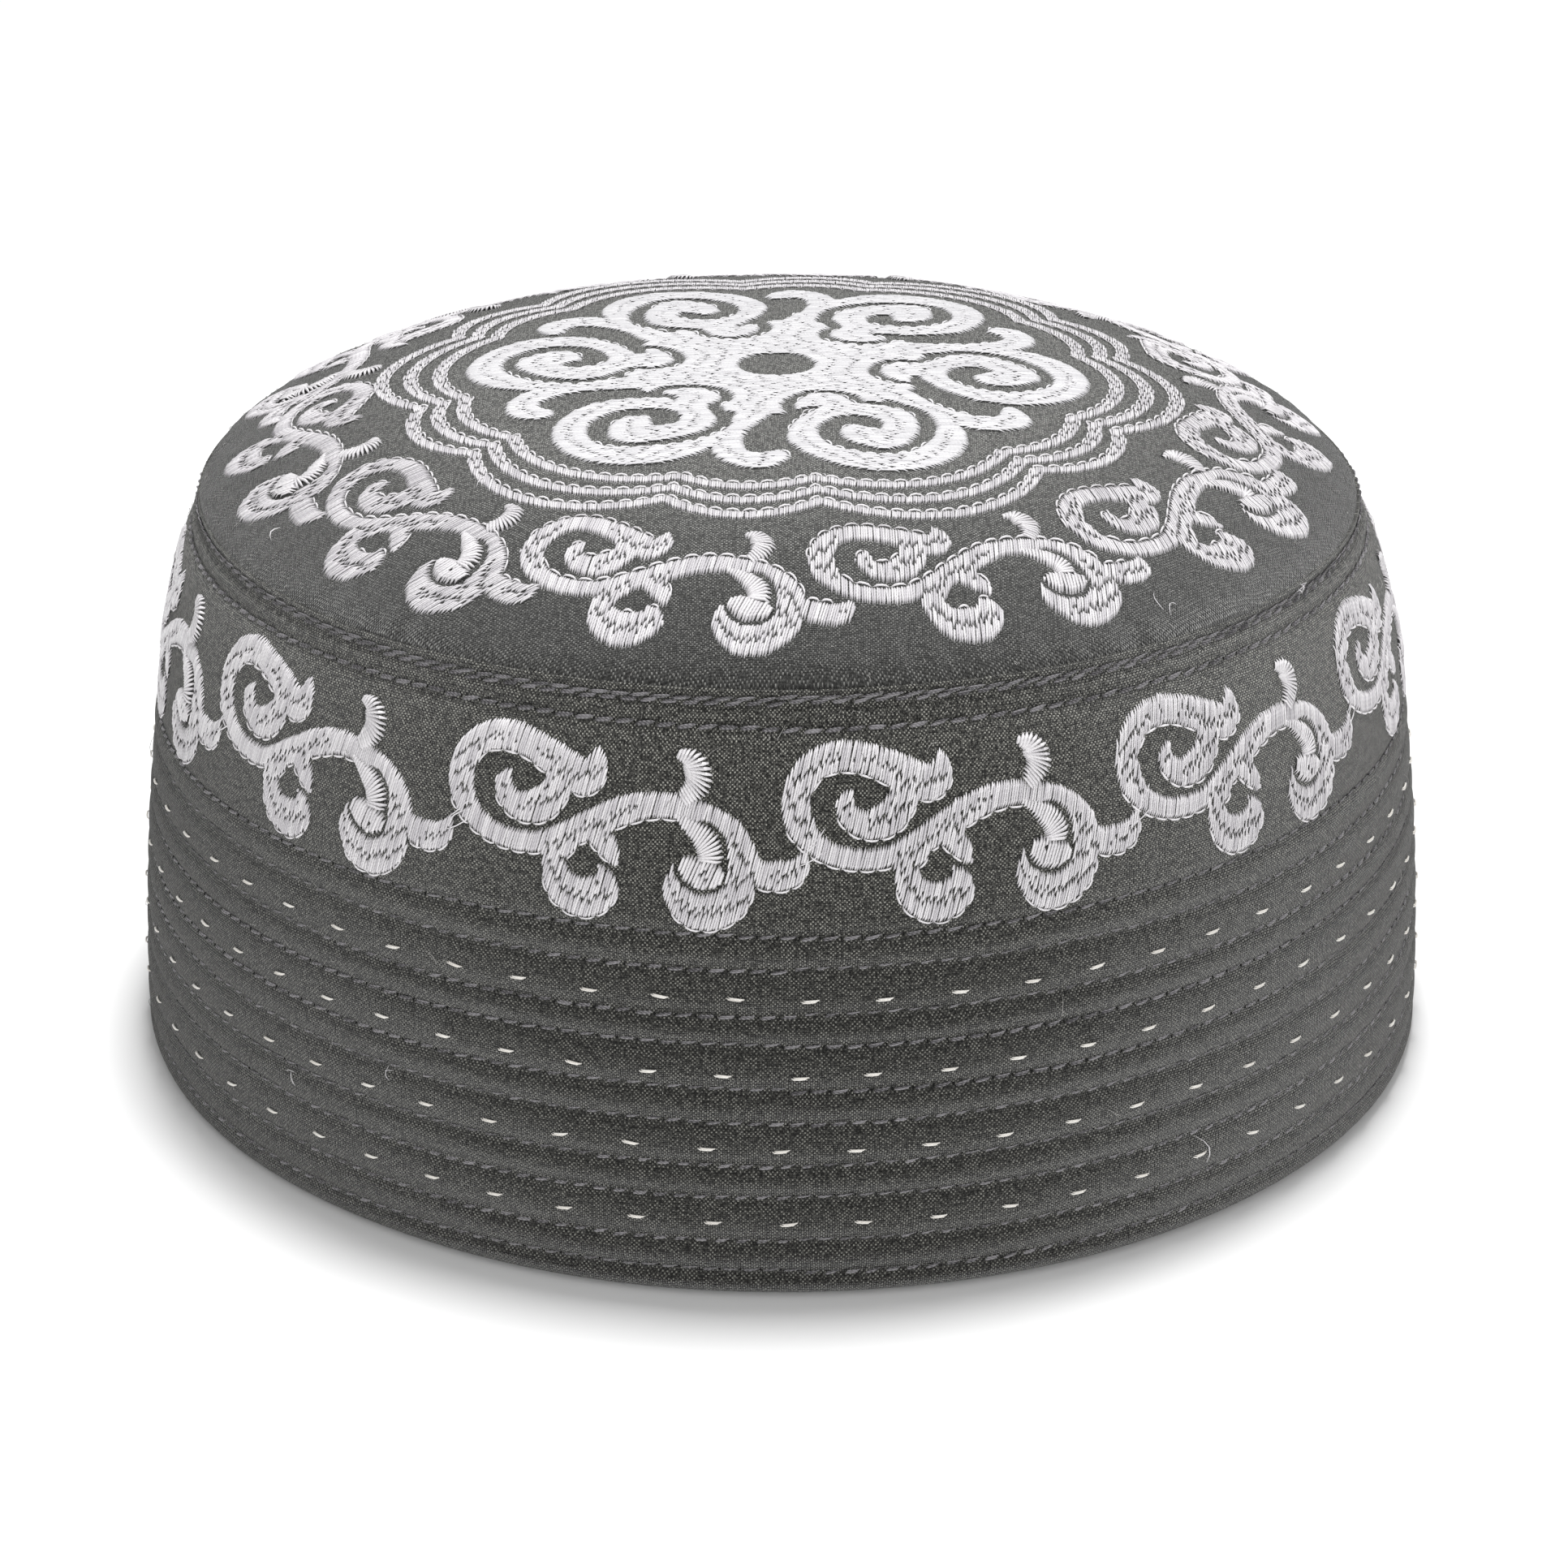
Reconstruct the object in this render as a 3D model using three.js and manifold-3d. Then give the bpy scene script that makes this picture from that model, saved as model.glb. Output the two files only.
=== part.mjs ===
// Prayer cap: a quilted cloth side band, a soft domed crown panel sewn to its
// top edge, and raised thread scrollwork on both. Millimetres, Z up, origin at
// the middle of the rim, the front of the cap towards -Y.

import * as THREE from "three";
import { mergeVertices } from "three/addons/utils/BufferGeometryUtils.js";
import Module from "manifold-3d";

const wasm = await Module();
wasm.setup();

// Driving dimensions of the side band
const RIM_RADIUS = 91.6;
const BAND_HEIGHT = 78.7;
const BAND_TOP_RADIUS = 79.6;
const BAND_WALL = 2.4;
const GROOVE_DEPTH = 0.5;

// Driving dimensions of the crown panel
const CROWN_RISE = 14.9;
const CROWN_WALL = 2.0;
const FRONT_FULLNESS = 1;

// Seam between the crown panel and the side band
const SEAM_GAP = 0.3;
const SEAM_STEP = 0.2;

// Raised thread pads
const PAD_GAP = 0.6;
const PAD_THICKNESS = 0.6;

// Scroll motifs, the same drawing on the side band and on the crown
const SCROLL_LENGTH = 46.5;
const SCROLL_HEIGHT = 23.7;
const BAND_SCROLLS = 12;
const CROWN_SCROLLS = 11;
const CROWN_SCROLL_LENGTH = 42.5;
const CROWN_SCROLL_FOOT_SHARE = 0.968;
const SCROLL_CLEARANCE = 0.6;

// Rosette in the middle of the crown and the three scalloped lines round it
const ROSETTE_RADIUS = 42.5;
const ROSETTE_ARMS = 6;
const ROSETTE_HOLE_RADIUS = 5.2;
const SCALLOP_WIDTH = 2.4;
const SCALLOP_MARGIN = 0.8;
const SCALLOP_LINES = ["inner", "middle", "outer"];

// Facets round the whole cap
const TURN_SEGMENTS = 36;
const SCALLOP_STEPS = 3;
const HOLE_SEGMENTS = 10;
const LOBE_SEGMENTS = 10;
const LONGEST_EDGE = 12;
const SMALLEST_EDGE = 0.3;
const WELD_DISTANCE = 1e-4;
const SLOPE_STEP_SHARE = 0.01;

// Outline of the side band, from the rim up: share of the height, and share of
// the inward lean from the rim radius to the top radius
const BAND_OUTLINE = [
  { height: 0, inset: 0 },
  { height: 0.1, inset: 0.013 },
  { height: 0.23, inset: 0.06 },
  { height: 0.39, inset: 0.137 },
  { height: 0.54, inset: 0.26 },
  { height: 0.7, inset: 0.388 },
  { height: 0.83, inset: 0.577 },
  { height: 0.92, inset: 0.75 },
  { height: 1, inset: 1 },
];

// Pairs of quilting rows up the side band, as shares of its height
const QUILT_PAIRS = 5;
const QUILT_FIRST = 0.075;
const QUILT_PITCH = 0.1296;
const QUILT_PAIR = 0.053;
const TOP_ROWS = [0.943, 0.98];

// Outline of the crown panel, from its middle out: share of the seam radius,
// and share of the rise above the seam
const CROWN_OUTLINE = [
  { radius: 0, rise: 1 },
  { radius: 0.25, rise: 0.98 },
  { radius: 0.43, rise: 0.93 },
  { radius: 0.57, rise: 0.86 },
  { radius: 0.69, rise: 0.75 },
  { radius: 0.76, rise: 0.65 },
  { radius: 0.845, rise: 0.47 },
  { radius: 0.91, rise: 0.34 },
  { radius: 0.955, rise: 0.235 },
  { radius: 0.985, rise: 0.12 },
  { radius: 1, rise: 0 },
];

// Strokes of the scroll: share of its length along, share of its height up,
// and share of its height wide
const SCROLL_STROKES = {
  arm: [
    { along: 0.445, up: 0.85, wide: 0.12 },
    { along: 0.33, up: 0.81, wide: 0.19 },
    { along: 0.19, up: 0.92, wide: 0.16 },
    { along: 0.07, up: 0.82, wide: 0.15 },
    { along: 0.05, up: 0.6, wide: 0.15 },
    { along: 0.16, up: 0.42, wide: 0.13 },
    { along: 0.36, up: 0.44, wide: 0.13 },
    { along: 0.6, up: 0.665, wide: 0.15 },
    { along: 0.79, up: 0.56, wide: 0.14 },
    { along: 0.84, up: 0.34, wide: 0.16 },
    { along: 0.76, up: 0.14, wide: 0.24 },
    { along: 0.665, up: 0.23, wide: 0.14 },
    { along: 0.655, up: 0.36, wide: 0.03 },
  ],
  curl: [
    { along: 0.185, up: 0.73, wide: 0.06 },
    { along: 0.22, up: 0.575, wide: 0.15 },
    { along: 0.33, up: 0.7, wide: 0.17 },
  ],
  bud: [
    { along: 0.7, up: 0.67, wide: 0.13 },
    { along: 0.69, up: 0.91, wide: 0.15 },
  ],
  tongue: [
    { along: 0.72, up: 0.58, wide: 0.12 },
    { along: 0.72, up: 0.34, wide: 0.19 },
  ],
  hook: [
    { along: 0.36, up: 0.46, wide: 0.13 },
    { along: 0.335, up: 0.26, wide: 0.15 },
    { along: 0.395, up: 0.145, wide: 0.22 },
    { along: 0.47, up: 0.22, wide: 0.13 },
    { along: 0.455, up: 0.32, wide: 0.03 },
  ],
  small_leaf: [
    { along: 0.44, up: 0.51, wide: 0.14 },
    { along: 0.494, up: 0.35, wide: 0.05 },
  ],
  crescent: [
    { along: 0.84, up: 0.34, wide: 0.12 },
    { along: 0.97, up: 0.34, wide: 0.13 },
  ],
};

// One sixth of the rosette. Every value is a share of the rosette radius:
// to the side, outwards from the middle, and the width of the stroke there
const ROSETTE_BODY_SHARE = 0.5;
const ROSETTE_LOBE = { side: 0.311, out: 0.669, radius: 0.291 };
const ROSETTE_ARM = [
  { side: -0.044, out: 0.38, wide: 0.16 },
  { side: -0.11, out: 0.605, wide: 0.1 },
  { side: -0.14, out: 0.77, wide: 0.125 },
  { side: -0.07, out: 0.885, wide: 0.12 },
  { side: 0.02, out: 0.83, wide: 0.04 },
];
const ROSETTE_SPIRAL_GAP = [
  { side: 0.3, out: 0.58, wide: 0.09 },
  { side: 0.18, out: 0.61, wide: 0.075 },
  { side: 0.25, out: 0.8, wide: 0.06 },
  { side: 0.39, out: 0.78, wide: 0.045 },
  { side: 0.475, out: 0.6, wide: 0.044 },
  { side: 0.41, out: 0.43, wide: 0.036 },
  { side: 0.27, out: 0.385, wide: 0.026 },
  { side: 0.19, out: 0.29, wide: 0.026 },
  { side: 0.07, out: 0.33, wide: 0.026 },
  { side: 0.05, out: 0.5, wide: 0.03 },
];
const ROSETTE_CRESCENT_GAP = [
  { side: 0.12, out: 0.45, wide: 0.02 },
  { side: 0.02, out: 0.55, wide: 0.08 },
  { side: -0.035, out: 0.73, wide: 0.12 },
  { side: 0.03, out: 0.822, wide: 0.035 },
  { side: 0.09, out: 0.95, wide: 0.07 },
];

// Lobes of the scalloped lines in one sixth of a turn: the middle and the half
// width of the lobe in degrees, and the share of the line's own bulge
const SCALLOP_LOBES = [
  { middle: 24.9, half: 18.5, bulge: 1 },
  { middle: -5.1, half: 11.5, bulge: 0.58 },
];
const SCALLOP_PITCH_SHARE = 0.0726;
const SCALLOP_BULGE_SHARE = 0.083;
const SCALLOP_BULGE_GAIN = 0.024;

// Place of each scroll: its middle height as a share of the side band, and its
// left end in degrees round from the front
const FRIEZE_SHARE = 0.775;
const BAND_SCROLL_START = 0.3;
const CROWN_SCROLL_START = -28.5;
const CROWN_SCROLL_DRIFT = [-1, 1.5, 1, 1.5, 1, 0.5, 0, 0, -0.5, -1, -1.5];

// Sizes worked out from the driving dimensions
const SEAM_RADIUS = BAND_TOP_RADIUS - SEAM_STEP;
const SEAM_HEIGHT = BAND_HEIGHT + SEAM_GAP;
const FRIEZE_MIDDLE = BAND_HEIGHT * FRIEZE_SHARE;
const LAST_LINE = SCALLOP_LINES.length - 1;
const SCALLOP_REACH = scallopBase(LAST_LINE) + scallopBulge(LAST_LINE) + SCALLOP_WIDTH / 2;
const CROWN_SCROLL_FOOT = SEAM_RADIUS * CROWN_SCROLL_FOOT_SHARE;
const CROWN_SCROLL_INNER = SCALLOP_REACH + SCROLL_CLEARANCE;

const radians = THREE.MathUtils.degToRad;

function scallopBase(line) {
  return ROSETTE_RADIUS + SCALLOP_MARGIN + line * SCALLOP_PITCH_SHARE * ROSETTE_RADIUS;
}

function scallopBulge(line) {
  return (SCALLOP_BULGE_SHARE + line * SCALLOP_BULGE_GAIN) * ROSETTE_RADIUS;
}

function between(table, key, value, at) {
  const last = table.length - 1;
  let i = 1;
  while (i < last && table[i][key] < at) i += 1;
  const low = table[i - 1];
  const high = table[i];
  const share = (at - low[key]) / (high[key] - low[key]);
  return low[value] + (high[value] - low[value]) * share;
}

function bandRadius(height) {
  const inset = between(BAND_OUTLINE, "height", "inset", height / BAND_HEIGHT);
  return RIM_RADIUS - (RIM_RADIUS - BAND_TOP_RADIUS) * inset;
}

function crownHeight(radius) {
  const rise = between(CROWN_OUTLINE, "radius", "rise", radius / SEAM_RADIUS);
  return SEAM_HEIGHT + CROWN_RISE * rise;
}

// The crown stands a little fuller towards the front
function frontFullness(x, y) {
  const radius = Math.hypot(x, y);
  const fade = Math.max(0, 1 - (radius / SEAM_RADIUS) ** 2);
  return (-y / SEAM_RADIUS) * fade * FRONT_FULLNESS;
}

function onCrown(x, y, lift) {
  const radius = Math.hypot(x, y);
  const step = SEAM_RADIUS * SLOPE_STEP_SHARE;
  const slope = (crownHeight(radius + step) - crownHeight(Math.abs(radius - step))) / (2 * step);
  const lean = Math.atan(radius > step ? -slope : 0);
  const outward = lift * Math.sin(lean);
  const scale = radius > step ? (radius + outward) / radius : 1;
  const height = crownHeight(radius) + frontFullness(x, y) + lift * Math.cos(lean);
  return [x * scale, y * scale, height];
}

function onBand(turn, height, lift) {
  const step = BAND_HEIGHT * SLOPE_STEP_SHARE;
  const slope = (bandRadius(height + step) - bandRadius(height - step)) / (2 * step);
  const lean = Math.atan(-slope);
  const radius = bandRadius(height) + lift * Math.cos(lean);
  return [radius * Math.sin(turn), -radius * Math.cos(turn), height + lift * Math.sin(lean)];
}

// Moves every vertex of a geometry to where place puts it
function shaped(geometry, place) {
  const position = geometry.attributes.position;
  for (let i = 0; i < position.count; i += 1) {
    const moved = place(position.getX(i), position.getY(i), position.getZ(i));
    position.setXYZ(i, moved[0], moved[1], moved[2]);
  }
  geometry.computeVertexNormals();
  return geometry;
}

function turned(points) {
  const geometry = new THREE.LatheGeometry(points, TURN_SEGMENTS);
  geometry.rotateX(Math.PI / 2);
  return geometry;
}

function solidOf(geometry) {
  const plain = geometry.clone();
  plain.deleteAttribute("normal");
  plain.deleteAttribute("uv");
  const merged = mergeVertices(plain, WELD_DISTANCE);
  const vertProperties = new Float32Array(merged.attributes.position.array);
  const triVerts = new Uint32Array(merged.index.array);
  return new wasm.Manifold(new wasm.Mesh({ numProp: 3, vertProperties, triVerts }));
}

function geometryOf(solid) {
  const mesh = solid.getMesh();
  const geometry = new THREE.BufferGeometry();
  geometry.setAttribute("position", new THREE.BufferAttribute(new Float32Array(mesh.vertProperties), 3));
  geometry.setIndex(new THREE.BufferAttribute(new Uint32Array(mesh.triVerts), 1));
  return geometry;
}

function slab(outline, hole) {
  const shape = new THREE.Shape(outline);
  if (hole) shape.holes.push(new THREE.Path(hole));
  return new THREE.ExtrudeGeometry(shape, { depth: 1, bevelEnabled: false });
}

// Outline of a stroke: its stations offset to each side across the way it runs
function strokeOutline(stations) {
  const left = [];
  const right = [];
  stations.forEach((station, i) => {
    const before = stations[Math.max(0, i - 1)];
    const after = stations[Math.min(stations.length - 1, i + 1)];
    const way = new THREE.Vector2(after.x - before.x, after.y - before.y).normalize();
    const half = station.wide / 2;
    left.push(new THREE.Vector2(station.x - way.y * half, station.y + way.x * half));
    right.unshift(new THREE.Vector2(station.x + way.y * half, station.y - way.x * half));
  });
  return [...left, ...right];
}

function circleOutline(x, y, radius, segments) {
  return Array.from({ length: segments }, (_, i) => {
    const turn = (2 * Math.PI * i) / segments;
    return new THREE.Vector2(x + radius * Math.cos(turn), y + radius * Math.sin(turn));
  });
}

// Flat scroll: x along, y up from its foot, one unit thick
function flatScroll() {
  const slabs = Object.values(SCROLL_STROKES).map((stroke) => {
    const stations = stroke.map((row) => ({
      x: row.along * SCROLL_LENGTH,
      y: row.up * SCROLL_HEIGHT,
      wide: row.wide * SCROLL_HEIGHT,
    }));
    return solidOf(slab(strokeOutline(stations)));
  });
  return slabs.reduce((whole, next) => whole.add(next)).refineToLength(LONGEST_EDGE);
}

// Flat rosette: y towards the back of the cap, one unit thick
function flatRosette() {
  const scaled = (table) =>
    table.map((row) => ({
      x: row.side * ROSETTE_RADIUS,
      y: -row.out * ROSETTE_RADIUS,
      wide: row.wide * ROSETTE_RADIUS,
    }));
  const lobe = circleOutline(
    ROSETTE_LOBE.side * ROSETTE_RADIUS,
    -ROSETTE_LOBE.out * ROSETTE_RADIUS,
    ROSETTE_LOBE.radius * ROSETTE_RADIUS,
    LOBE_SEGMENTS,
  );
  const body = circleOutline(0, 0, ROSETTE_BODY_SHARE * ROSETTE_RADIUS, TURN_SEGMENTS / 2);
  let threads = solidOf(slab(body));
  let gaps = solidOf(slab(circleOutline(0, 0, ROSETTE_HOLE_RADIUS, HOLE_SEGMENTS)));
  for (let k = 0; k < ROSETTE_ARMS; k += 1) {
    const turn = (2 * Math.PI * k) / ROSETTE_ARMS;
    const copy = (outline) => solidOf(slab(outline).rotateZ(turn));
    threads = threads.add(copy(lobe)).add(copy(strokeOutline(scaled(ROSETTE_ARM))));
    gaps = gaps.add(copy(strokeOutline(scaled(ROSETTE_SPIRAL_GAP))));
    gaps = gaps.add(copy(strokeOutline(scaled(ROSETTE_CRESCENT_GAP))));
  }
  return threads.subtract(gaps).simplify(SMALLEST_EDGE);
}

// Flat scalloped line round the rosette, with a cusp between two lobes
function flatScallop(line) {
  const base = scallopBase(line);
  const bulge = scallopBulge(line);
  const inner = [];
  const outer = [];
  for (let k = 0; k < ROSETTE_ARMS; k += 1) {
    for (const lobe of SCALLOP_LOBES) {
      for (let i = 0; i < SCALLOP_STEPS; i += 1) {
        const across = -1 + (2 * i) / SCALLOP_STEPS;
        const turn = radians(lobe.middle + across * lobe.half + (360 * k) / ROSETTE_ARMS);
        const radius = base + bulge * lobe.bulge * (1 - across ** 2);
        const way = new THREE.Vector2(Math.sin(turn), -Math.cos(turn));
        inner.push(way.clone().multiplyScalar(radius - SCALLOP_WIDTH / 2));
        outer.push(way.clone().multiplyScalar(radius + SCALLOP_WIDTH / 2));
      }
    }
  }
  const round = (a, b) => Math.atan2(a.y, a.x) - Math.atan2(b.y, b.x);
  return slab(outer.sort(round), inner.sort(round));
}

function sideBand() {
  const rows = [];
  for (let pair = 0; pair < QUILT_PAIRS; pair += 1) {
    const middle = QUILT_FIRST + pair * QUILT_PITCH;
    rows.push(middle - QUILT_PAIR / 2, middle + QUILT_PAIR / 2);
  }
  rows.push(...TOP_ROWS);
  const outside = [new THREE.Vector2(bandRadius(0), 0)];
  rows.forEach((row, i) => {
    const before = i > 0 ? rows[i - 1] : 0;
    const height = row * BAND_HEIGHT;
    const middle = ((row + before) / 2) * BAND_HEIGHT;
    const plain = BAND_OUTLINE.filter((point) => point.height > before && point.height < row);
    if (row - before > QUILT_PITCH) {
      plain.forEach((point) => {
        const high = point.height * BAND_HEIGHT;
        outside.push(new THREE.Vector2(bandRadius(high), high));
      });
    } else {
      outside.push(new THREE.Vector2(bandRadius(middle), middle));
    }
    outside.push(new THREE.Vector2(bandRadius(height) - GROOVE_DEPTH, height));
  });
  outside.push(new THREE.Vector2(bandRadius(BAND_HEIGHT), BAND_HEIGHT));
  const inside = BAND_OUTLINE.filter((point, i) => i % 2 === 0).map((point) => {
    const height = point.height * BAND_HEIGHT;
    return new THREE.Vector2(bandRadius(height) - BAND_WALL, height);
  });
  const profile = [...outside, ...inside.reverse()];
  profile.push(profile[0].clone());
  return turned(profile);
}

function crownPanel() {
  const outside = CROWN_OUTLINE.map((point) => {
    const radius = point.radius * SEAM_RADIUS;
    return new THREE.Vector2(radius, crownHeight(radius));
  });
  const shrink = (SEAM_RADIUS - CROWN_WALL) / SEAM_RADIUS;
  const drop = (CROWN_RISE - CROWN_WALL) / CROWN_RISE;
  const inside = outside
    .filter((point, i) => i % 2 === 0)
    .map((point) => {
      const height = SEAM_HEIGHT + (point.y - SEAM_HEIGHT) * drop;
      return new THREE.Vector2(point.x * shrink, height);
    });
  const geometry = turned([...inside, ...outside.reverse()]);
  return shaped(geometry, (x, y, z) => [x, y, z + (z > SEAM_HEIGHT ? frontFullness(x, y) : 0)]);
}

function padOnCrown(geometry) {
  return shaped(geometry, (x, y, z) => onCrown(x, y, PAD_GAP + z * PAD_THICKNESS));
}

function scrollOnBand(solid, start) {
  const turnPerMm = 1 / bandRadius(FRIEZE_MIDDLE);
  return shaped(geometryOf(solid), (x, y, z) => {
    const height = FRIEZE_MIDDLE + y - SCROLL_HEIGHT / 2;
    return onBand(radians(start) + x * turnPerMm, height, PAD_GAP + z * PAD_THICKNESS);
  });
}

function scrollOnCrown(solid, start) {
  const middle = (CROWN_SCROLL_FOOT + CROWN_SCROLL_INNER) / 2;
  const turnPerMm = CROWN_SCROLL_LENGTH / SCROLL_LENGTH / middle;
  return shaped(geometryOf(solid), (x, y, z) => {
    const turn = radians(start) + x * turnPerMm;
    const share = y / SCROLL_HEIGHT;
    const radius = CROWN_SCROLL_FOOT + (CROWN_SCROLL_INNER - CROWN_SCROLL_FOOT) * share;
    const lift = PAD_GAP + z * PAD_THICKNESS;
    return onCrown(radius * Math.sin(turn), -radius * Math.cos(turn), lift);
  });
}

function finish(colour, roughness) {
  return new THREE.MeshStandardMaterial({ color: colour, roughness, metalness: 0 });
}

const cloth = finish("#3b3a38", 0.95);
const crownCloth = finish("#403f3c", 0.95);
const thread = finish("#d8d4da", 0.6);
const whiteThread = finish("#e6e4e8", 0.6);

const cap = new THREE.Group();

function piece(name, geometry, material) {
  const mesh = new THREE.Mesh(geometry, material);
  mesh.name = name;
  cap.add(mesh);
}

piece("side_band", sideBand(), cloth);
piece("crown_panel", crownPanel(), crownCloth);
piece("rosette", padOnCrown(geometryOf(flatRosette())), whiteThread);
SCALLOP_LINES.forEach((name, line) => {
  piece(`scallop_line_${name}`, padOnCrown(flatScallop(line)), thread);
});

const scroll = flatScroll();
for (let k = 0; k < BAND_SCROLLS; k += 1) {
  const start = BAND_SCROLL_START + (360 * k) / BAND_SCROLLS;
  piece(`band_scroll_${k + 1}`, scrollOnBand(scroll, start), thread);
}
for (let k = 0; k < CROWN_SCROLLS; k += 1) {
  const start = CROWN_SCROLL_START + (360 * k) / CROWN_SCROLLS + CROWN_SCROLL_DRIFT[k];
  piece(`crown_scroll_${k + 1}`, scrollOnCrown(scroll, start), thread);
}

export default cap;
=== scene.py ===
import math

import bmesh
import bpy
import numpy as np
from bpy.props import FloatProperty, FloatVectorProperty, IntProperty, PointerProperty
from bpy.types import Operator, Panel, PropertyGroup
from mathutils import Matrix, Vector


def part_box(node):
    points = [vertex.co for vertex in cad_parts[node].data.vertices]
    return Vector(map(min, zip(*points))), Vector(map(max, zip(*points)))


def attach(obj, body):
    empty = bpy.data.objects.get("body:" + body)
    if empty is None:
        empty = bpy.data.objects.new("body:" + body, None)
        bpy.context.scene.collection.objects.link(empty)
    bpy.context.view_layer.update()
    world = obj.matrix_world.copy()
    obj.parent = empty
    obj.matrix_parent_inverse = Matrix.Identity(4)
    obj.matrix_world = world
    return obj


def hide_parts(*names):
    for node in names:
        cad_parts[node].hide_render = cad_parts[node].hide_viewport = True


bl_info = {
    "name": "Prayer cap",
    "version": (1, 0, 0),
    "blender": (4, 5, 0),
    "location": "View3D > Sidebar > Cap",
    "description": "Builds the cloth, quilting and embroidery of a round prayer cap on its frame",
    "category": "Object",
}

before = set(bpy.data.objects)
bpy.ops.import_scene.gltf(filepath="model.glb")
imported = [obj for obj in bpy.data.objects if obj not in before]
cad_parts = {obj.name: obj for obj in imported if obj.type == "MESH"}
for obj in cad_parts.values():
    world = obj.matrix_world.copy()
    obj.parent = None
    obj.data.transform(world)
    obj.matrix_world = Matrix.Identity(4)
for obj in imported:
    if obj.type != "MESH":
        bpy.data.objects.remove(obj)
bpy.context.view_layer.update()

# Everything below is in millimetres of the real cap, and MM brings it to the frame's size
MEASURED_RIM_RADIUS = 91.6
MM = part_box("side_band")[1].x / MEASURED_RIM_RADIUS

# Side band: height above the rim, radius
BAND_PROFILE = [
    (0.0, 91.6), (8.1, 91.4), (18.3, 90.9), (30.5, 89.95), (42.7, 88.5), (54.9, 86.9), (65.1, 84.7),
    (72.4, 82.5), (75.5, 81.0), (78.7, 79.9),
]
BAND_HEIGHT = 78.7
FRIEZE_RADIUS = 85.2
HEM_RADIUS = 2.4
HEM_FOLD_HEIGHT = 8.0
WALL = 2.0
QUILT_ROWS = [3.7, 8.1, 14.2, 18.6, 24.4, 28.8, 34.7, 38.7, 44.7, 48.9]
TOP_ROWS = [74.2, 77.1]
TOP_ROW_FULLER = 1.3
TOP_ROW_RAISED = 0.07
DASH_ROWS = [(40.9, 2.39), (31.0, 1.36), (20.9, -0.03), (10.8, 0.41)]
DASHES_A_TURN = 60

# Crown: radius, height above the rim
CROWN_PROFILE = [
    (0.0, 93.9), (20.0, 93.6), (34.6, 92.9), (45.0, 91.8), (55.0, 90.2), (60.0, 88.9), (67.1, 86.2),
    (72.0, 84.1), (75.2, 82.6), (77.6, 81.2), (79.0, 80.1), (79.7, 79.2), (80.15, 78.2),
]
SEAM_RADIUS = 79.7
CROWN_EDGE_RADIUS = 80.15
CROWN_THICKNESS = 1.4
FULLNESS_RADIUS = 75.0
FRONT_FULLNESS = 1.0
PUCKERS_A_TURN = 96

# How the cloth darkens from its pale end to its dark end in mm, and how much: the band by height, darker
# towards the bottom; the crown by the distance from its middle, with painted shade towards its shoulder
BAND_DARKENING = (True, 62.0, 36.0, 0.36)
CROWN_PAINTED_SHADE = (False, 40.0, 78.0, 0.62)

# The worn shape: how far the top leans to the left, and how far the right shoulder sags
TOP_LEAN = 0.55
SHOULDER_SAG = 1.0
SHOULDER_DIRECTION = 100.0

# Scroll: share of its length along, share of its height up, share of its height wide
SCROLL_LENGTH = 46.5
SCROLL_HEIGHT = 23.7
SCROLL_FILLED = {
    "arm": [
        (0.382, 0.778, 0.18), (0.314, 0.838, 0.18), (0.245, 0.894, 0.16), (0.176, 0.919, 0.16),
        (0.108, 0.891, 0.15), (0.065, 0.813, 0.15), (0.045, 0.7, 0.15), (0.053, 0.584, 0.15),
        (0.088, 0.489, 0.13), (0.143, 0.422, 0.12), (0.216, 0.394, 0.12), (0.288, 0.405, 0.12),
        (0.363, 0.461, 0.14), (0.441, 0.546, 0.15), (0.52, 0.62, 0.15), (0.598, 0.658, 0.14),
        (0.676, 0.651, 0.135), (0.755, 0.602, 0.135), (0.81, 0.524, 0.14), (0.835, 0.408, 0.155),
        (0.827, 0.285, 0.16), (0.792, 0.176, 0.22), (0.727, 0.137, 0.26), (0.675, 0.204, 0.19),
        (0.655, 0.282, 0.08), (0.655, 0.363, 0.015),
    ],
    "leaf": [
        (0.437, 0.918, 0.02), (0.441, 0.87, 0.08), (0.434, 0.81, 0.135), (0.42, 0.765, 0.155),
        (0.4, 0.735, 0.14), (0.37, 0.73, 0.1),
    ],
    "curl": [
        (0.19, 0.75, 0.02), (0.176, 0.693, 0.09), (0.182, 0.63, 0.12), (0.222, 0.574, 0.15),
        (0.28, 0.591, 0.18), (0.324, 0.679, 0.16), (0.333, 0.778, 0.14),
    ],
    "hook": [
        (0.363, 0.426, 0.13), (0.331, 0.338, 0.13), (0.339, 0.243, 0.155), (0.365, 0.169, 0.2),
        (0.416, 0.141, 0.225), (0.463, 0.19, 0.175), (0.473, 0.268, 0.085), (0.455, 0.32, 0.015),
    ],
    "small_leaf": [
        (0.449, 0.496, 0.14), (0.476, 0.419, 0.12), (0.494, 0.348, 0.05),
    ],
    "crescent": [
        (0.853, 0.348, 0.13), (0.904, 0.32, 0.16), (0.955, 0.327, 0.15), (0.986, 0.387, 0.08),
        (0.998, 0.45, 0.02),
    ],
}
SCROLL_BUD = [
    (0.676, 0.69, 0.09), (0.708, 0.77, 0.15), (0.714, 0.841, 0.155), (0.696, 0.901, 0.11),
    (0.657, 0.922, 0.035),
]
SCROLL_TONGUE = [
    (0.655, 0.615, 0.03), (0.7, 0.556, 0.1), (0.738, 0.485, 0.14), (0.75, 0.42, 0.14),
    (0.745, 0.375, 0.12),
]
SCROLL_TONGUE_HEAD = [
    (0.755, 0.32, 0.12), (0.735, 0.315, 0.16), (0.712, 0.33, 0.16), (0.695, 0.35, 0.12),
]
BAND_SCROLLS = 12
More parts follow.
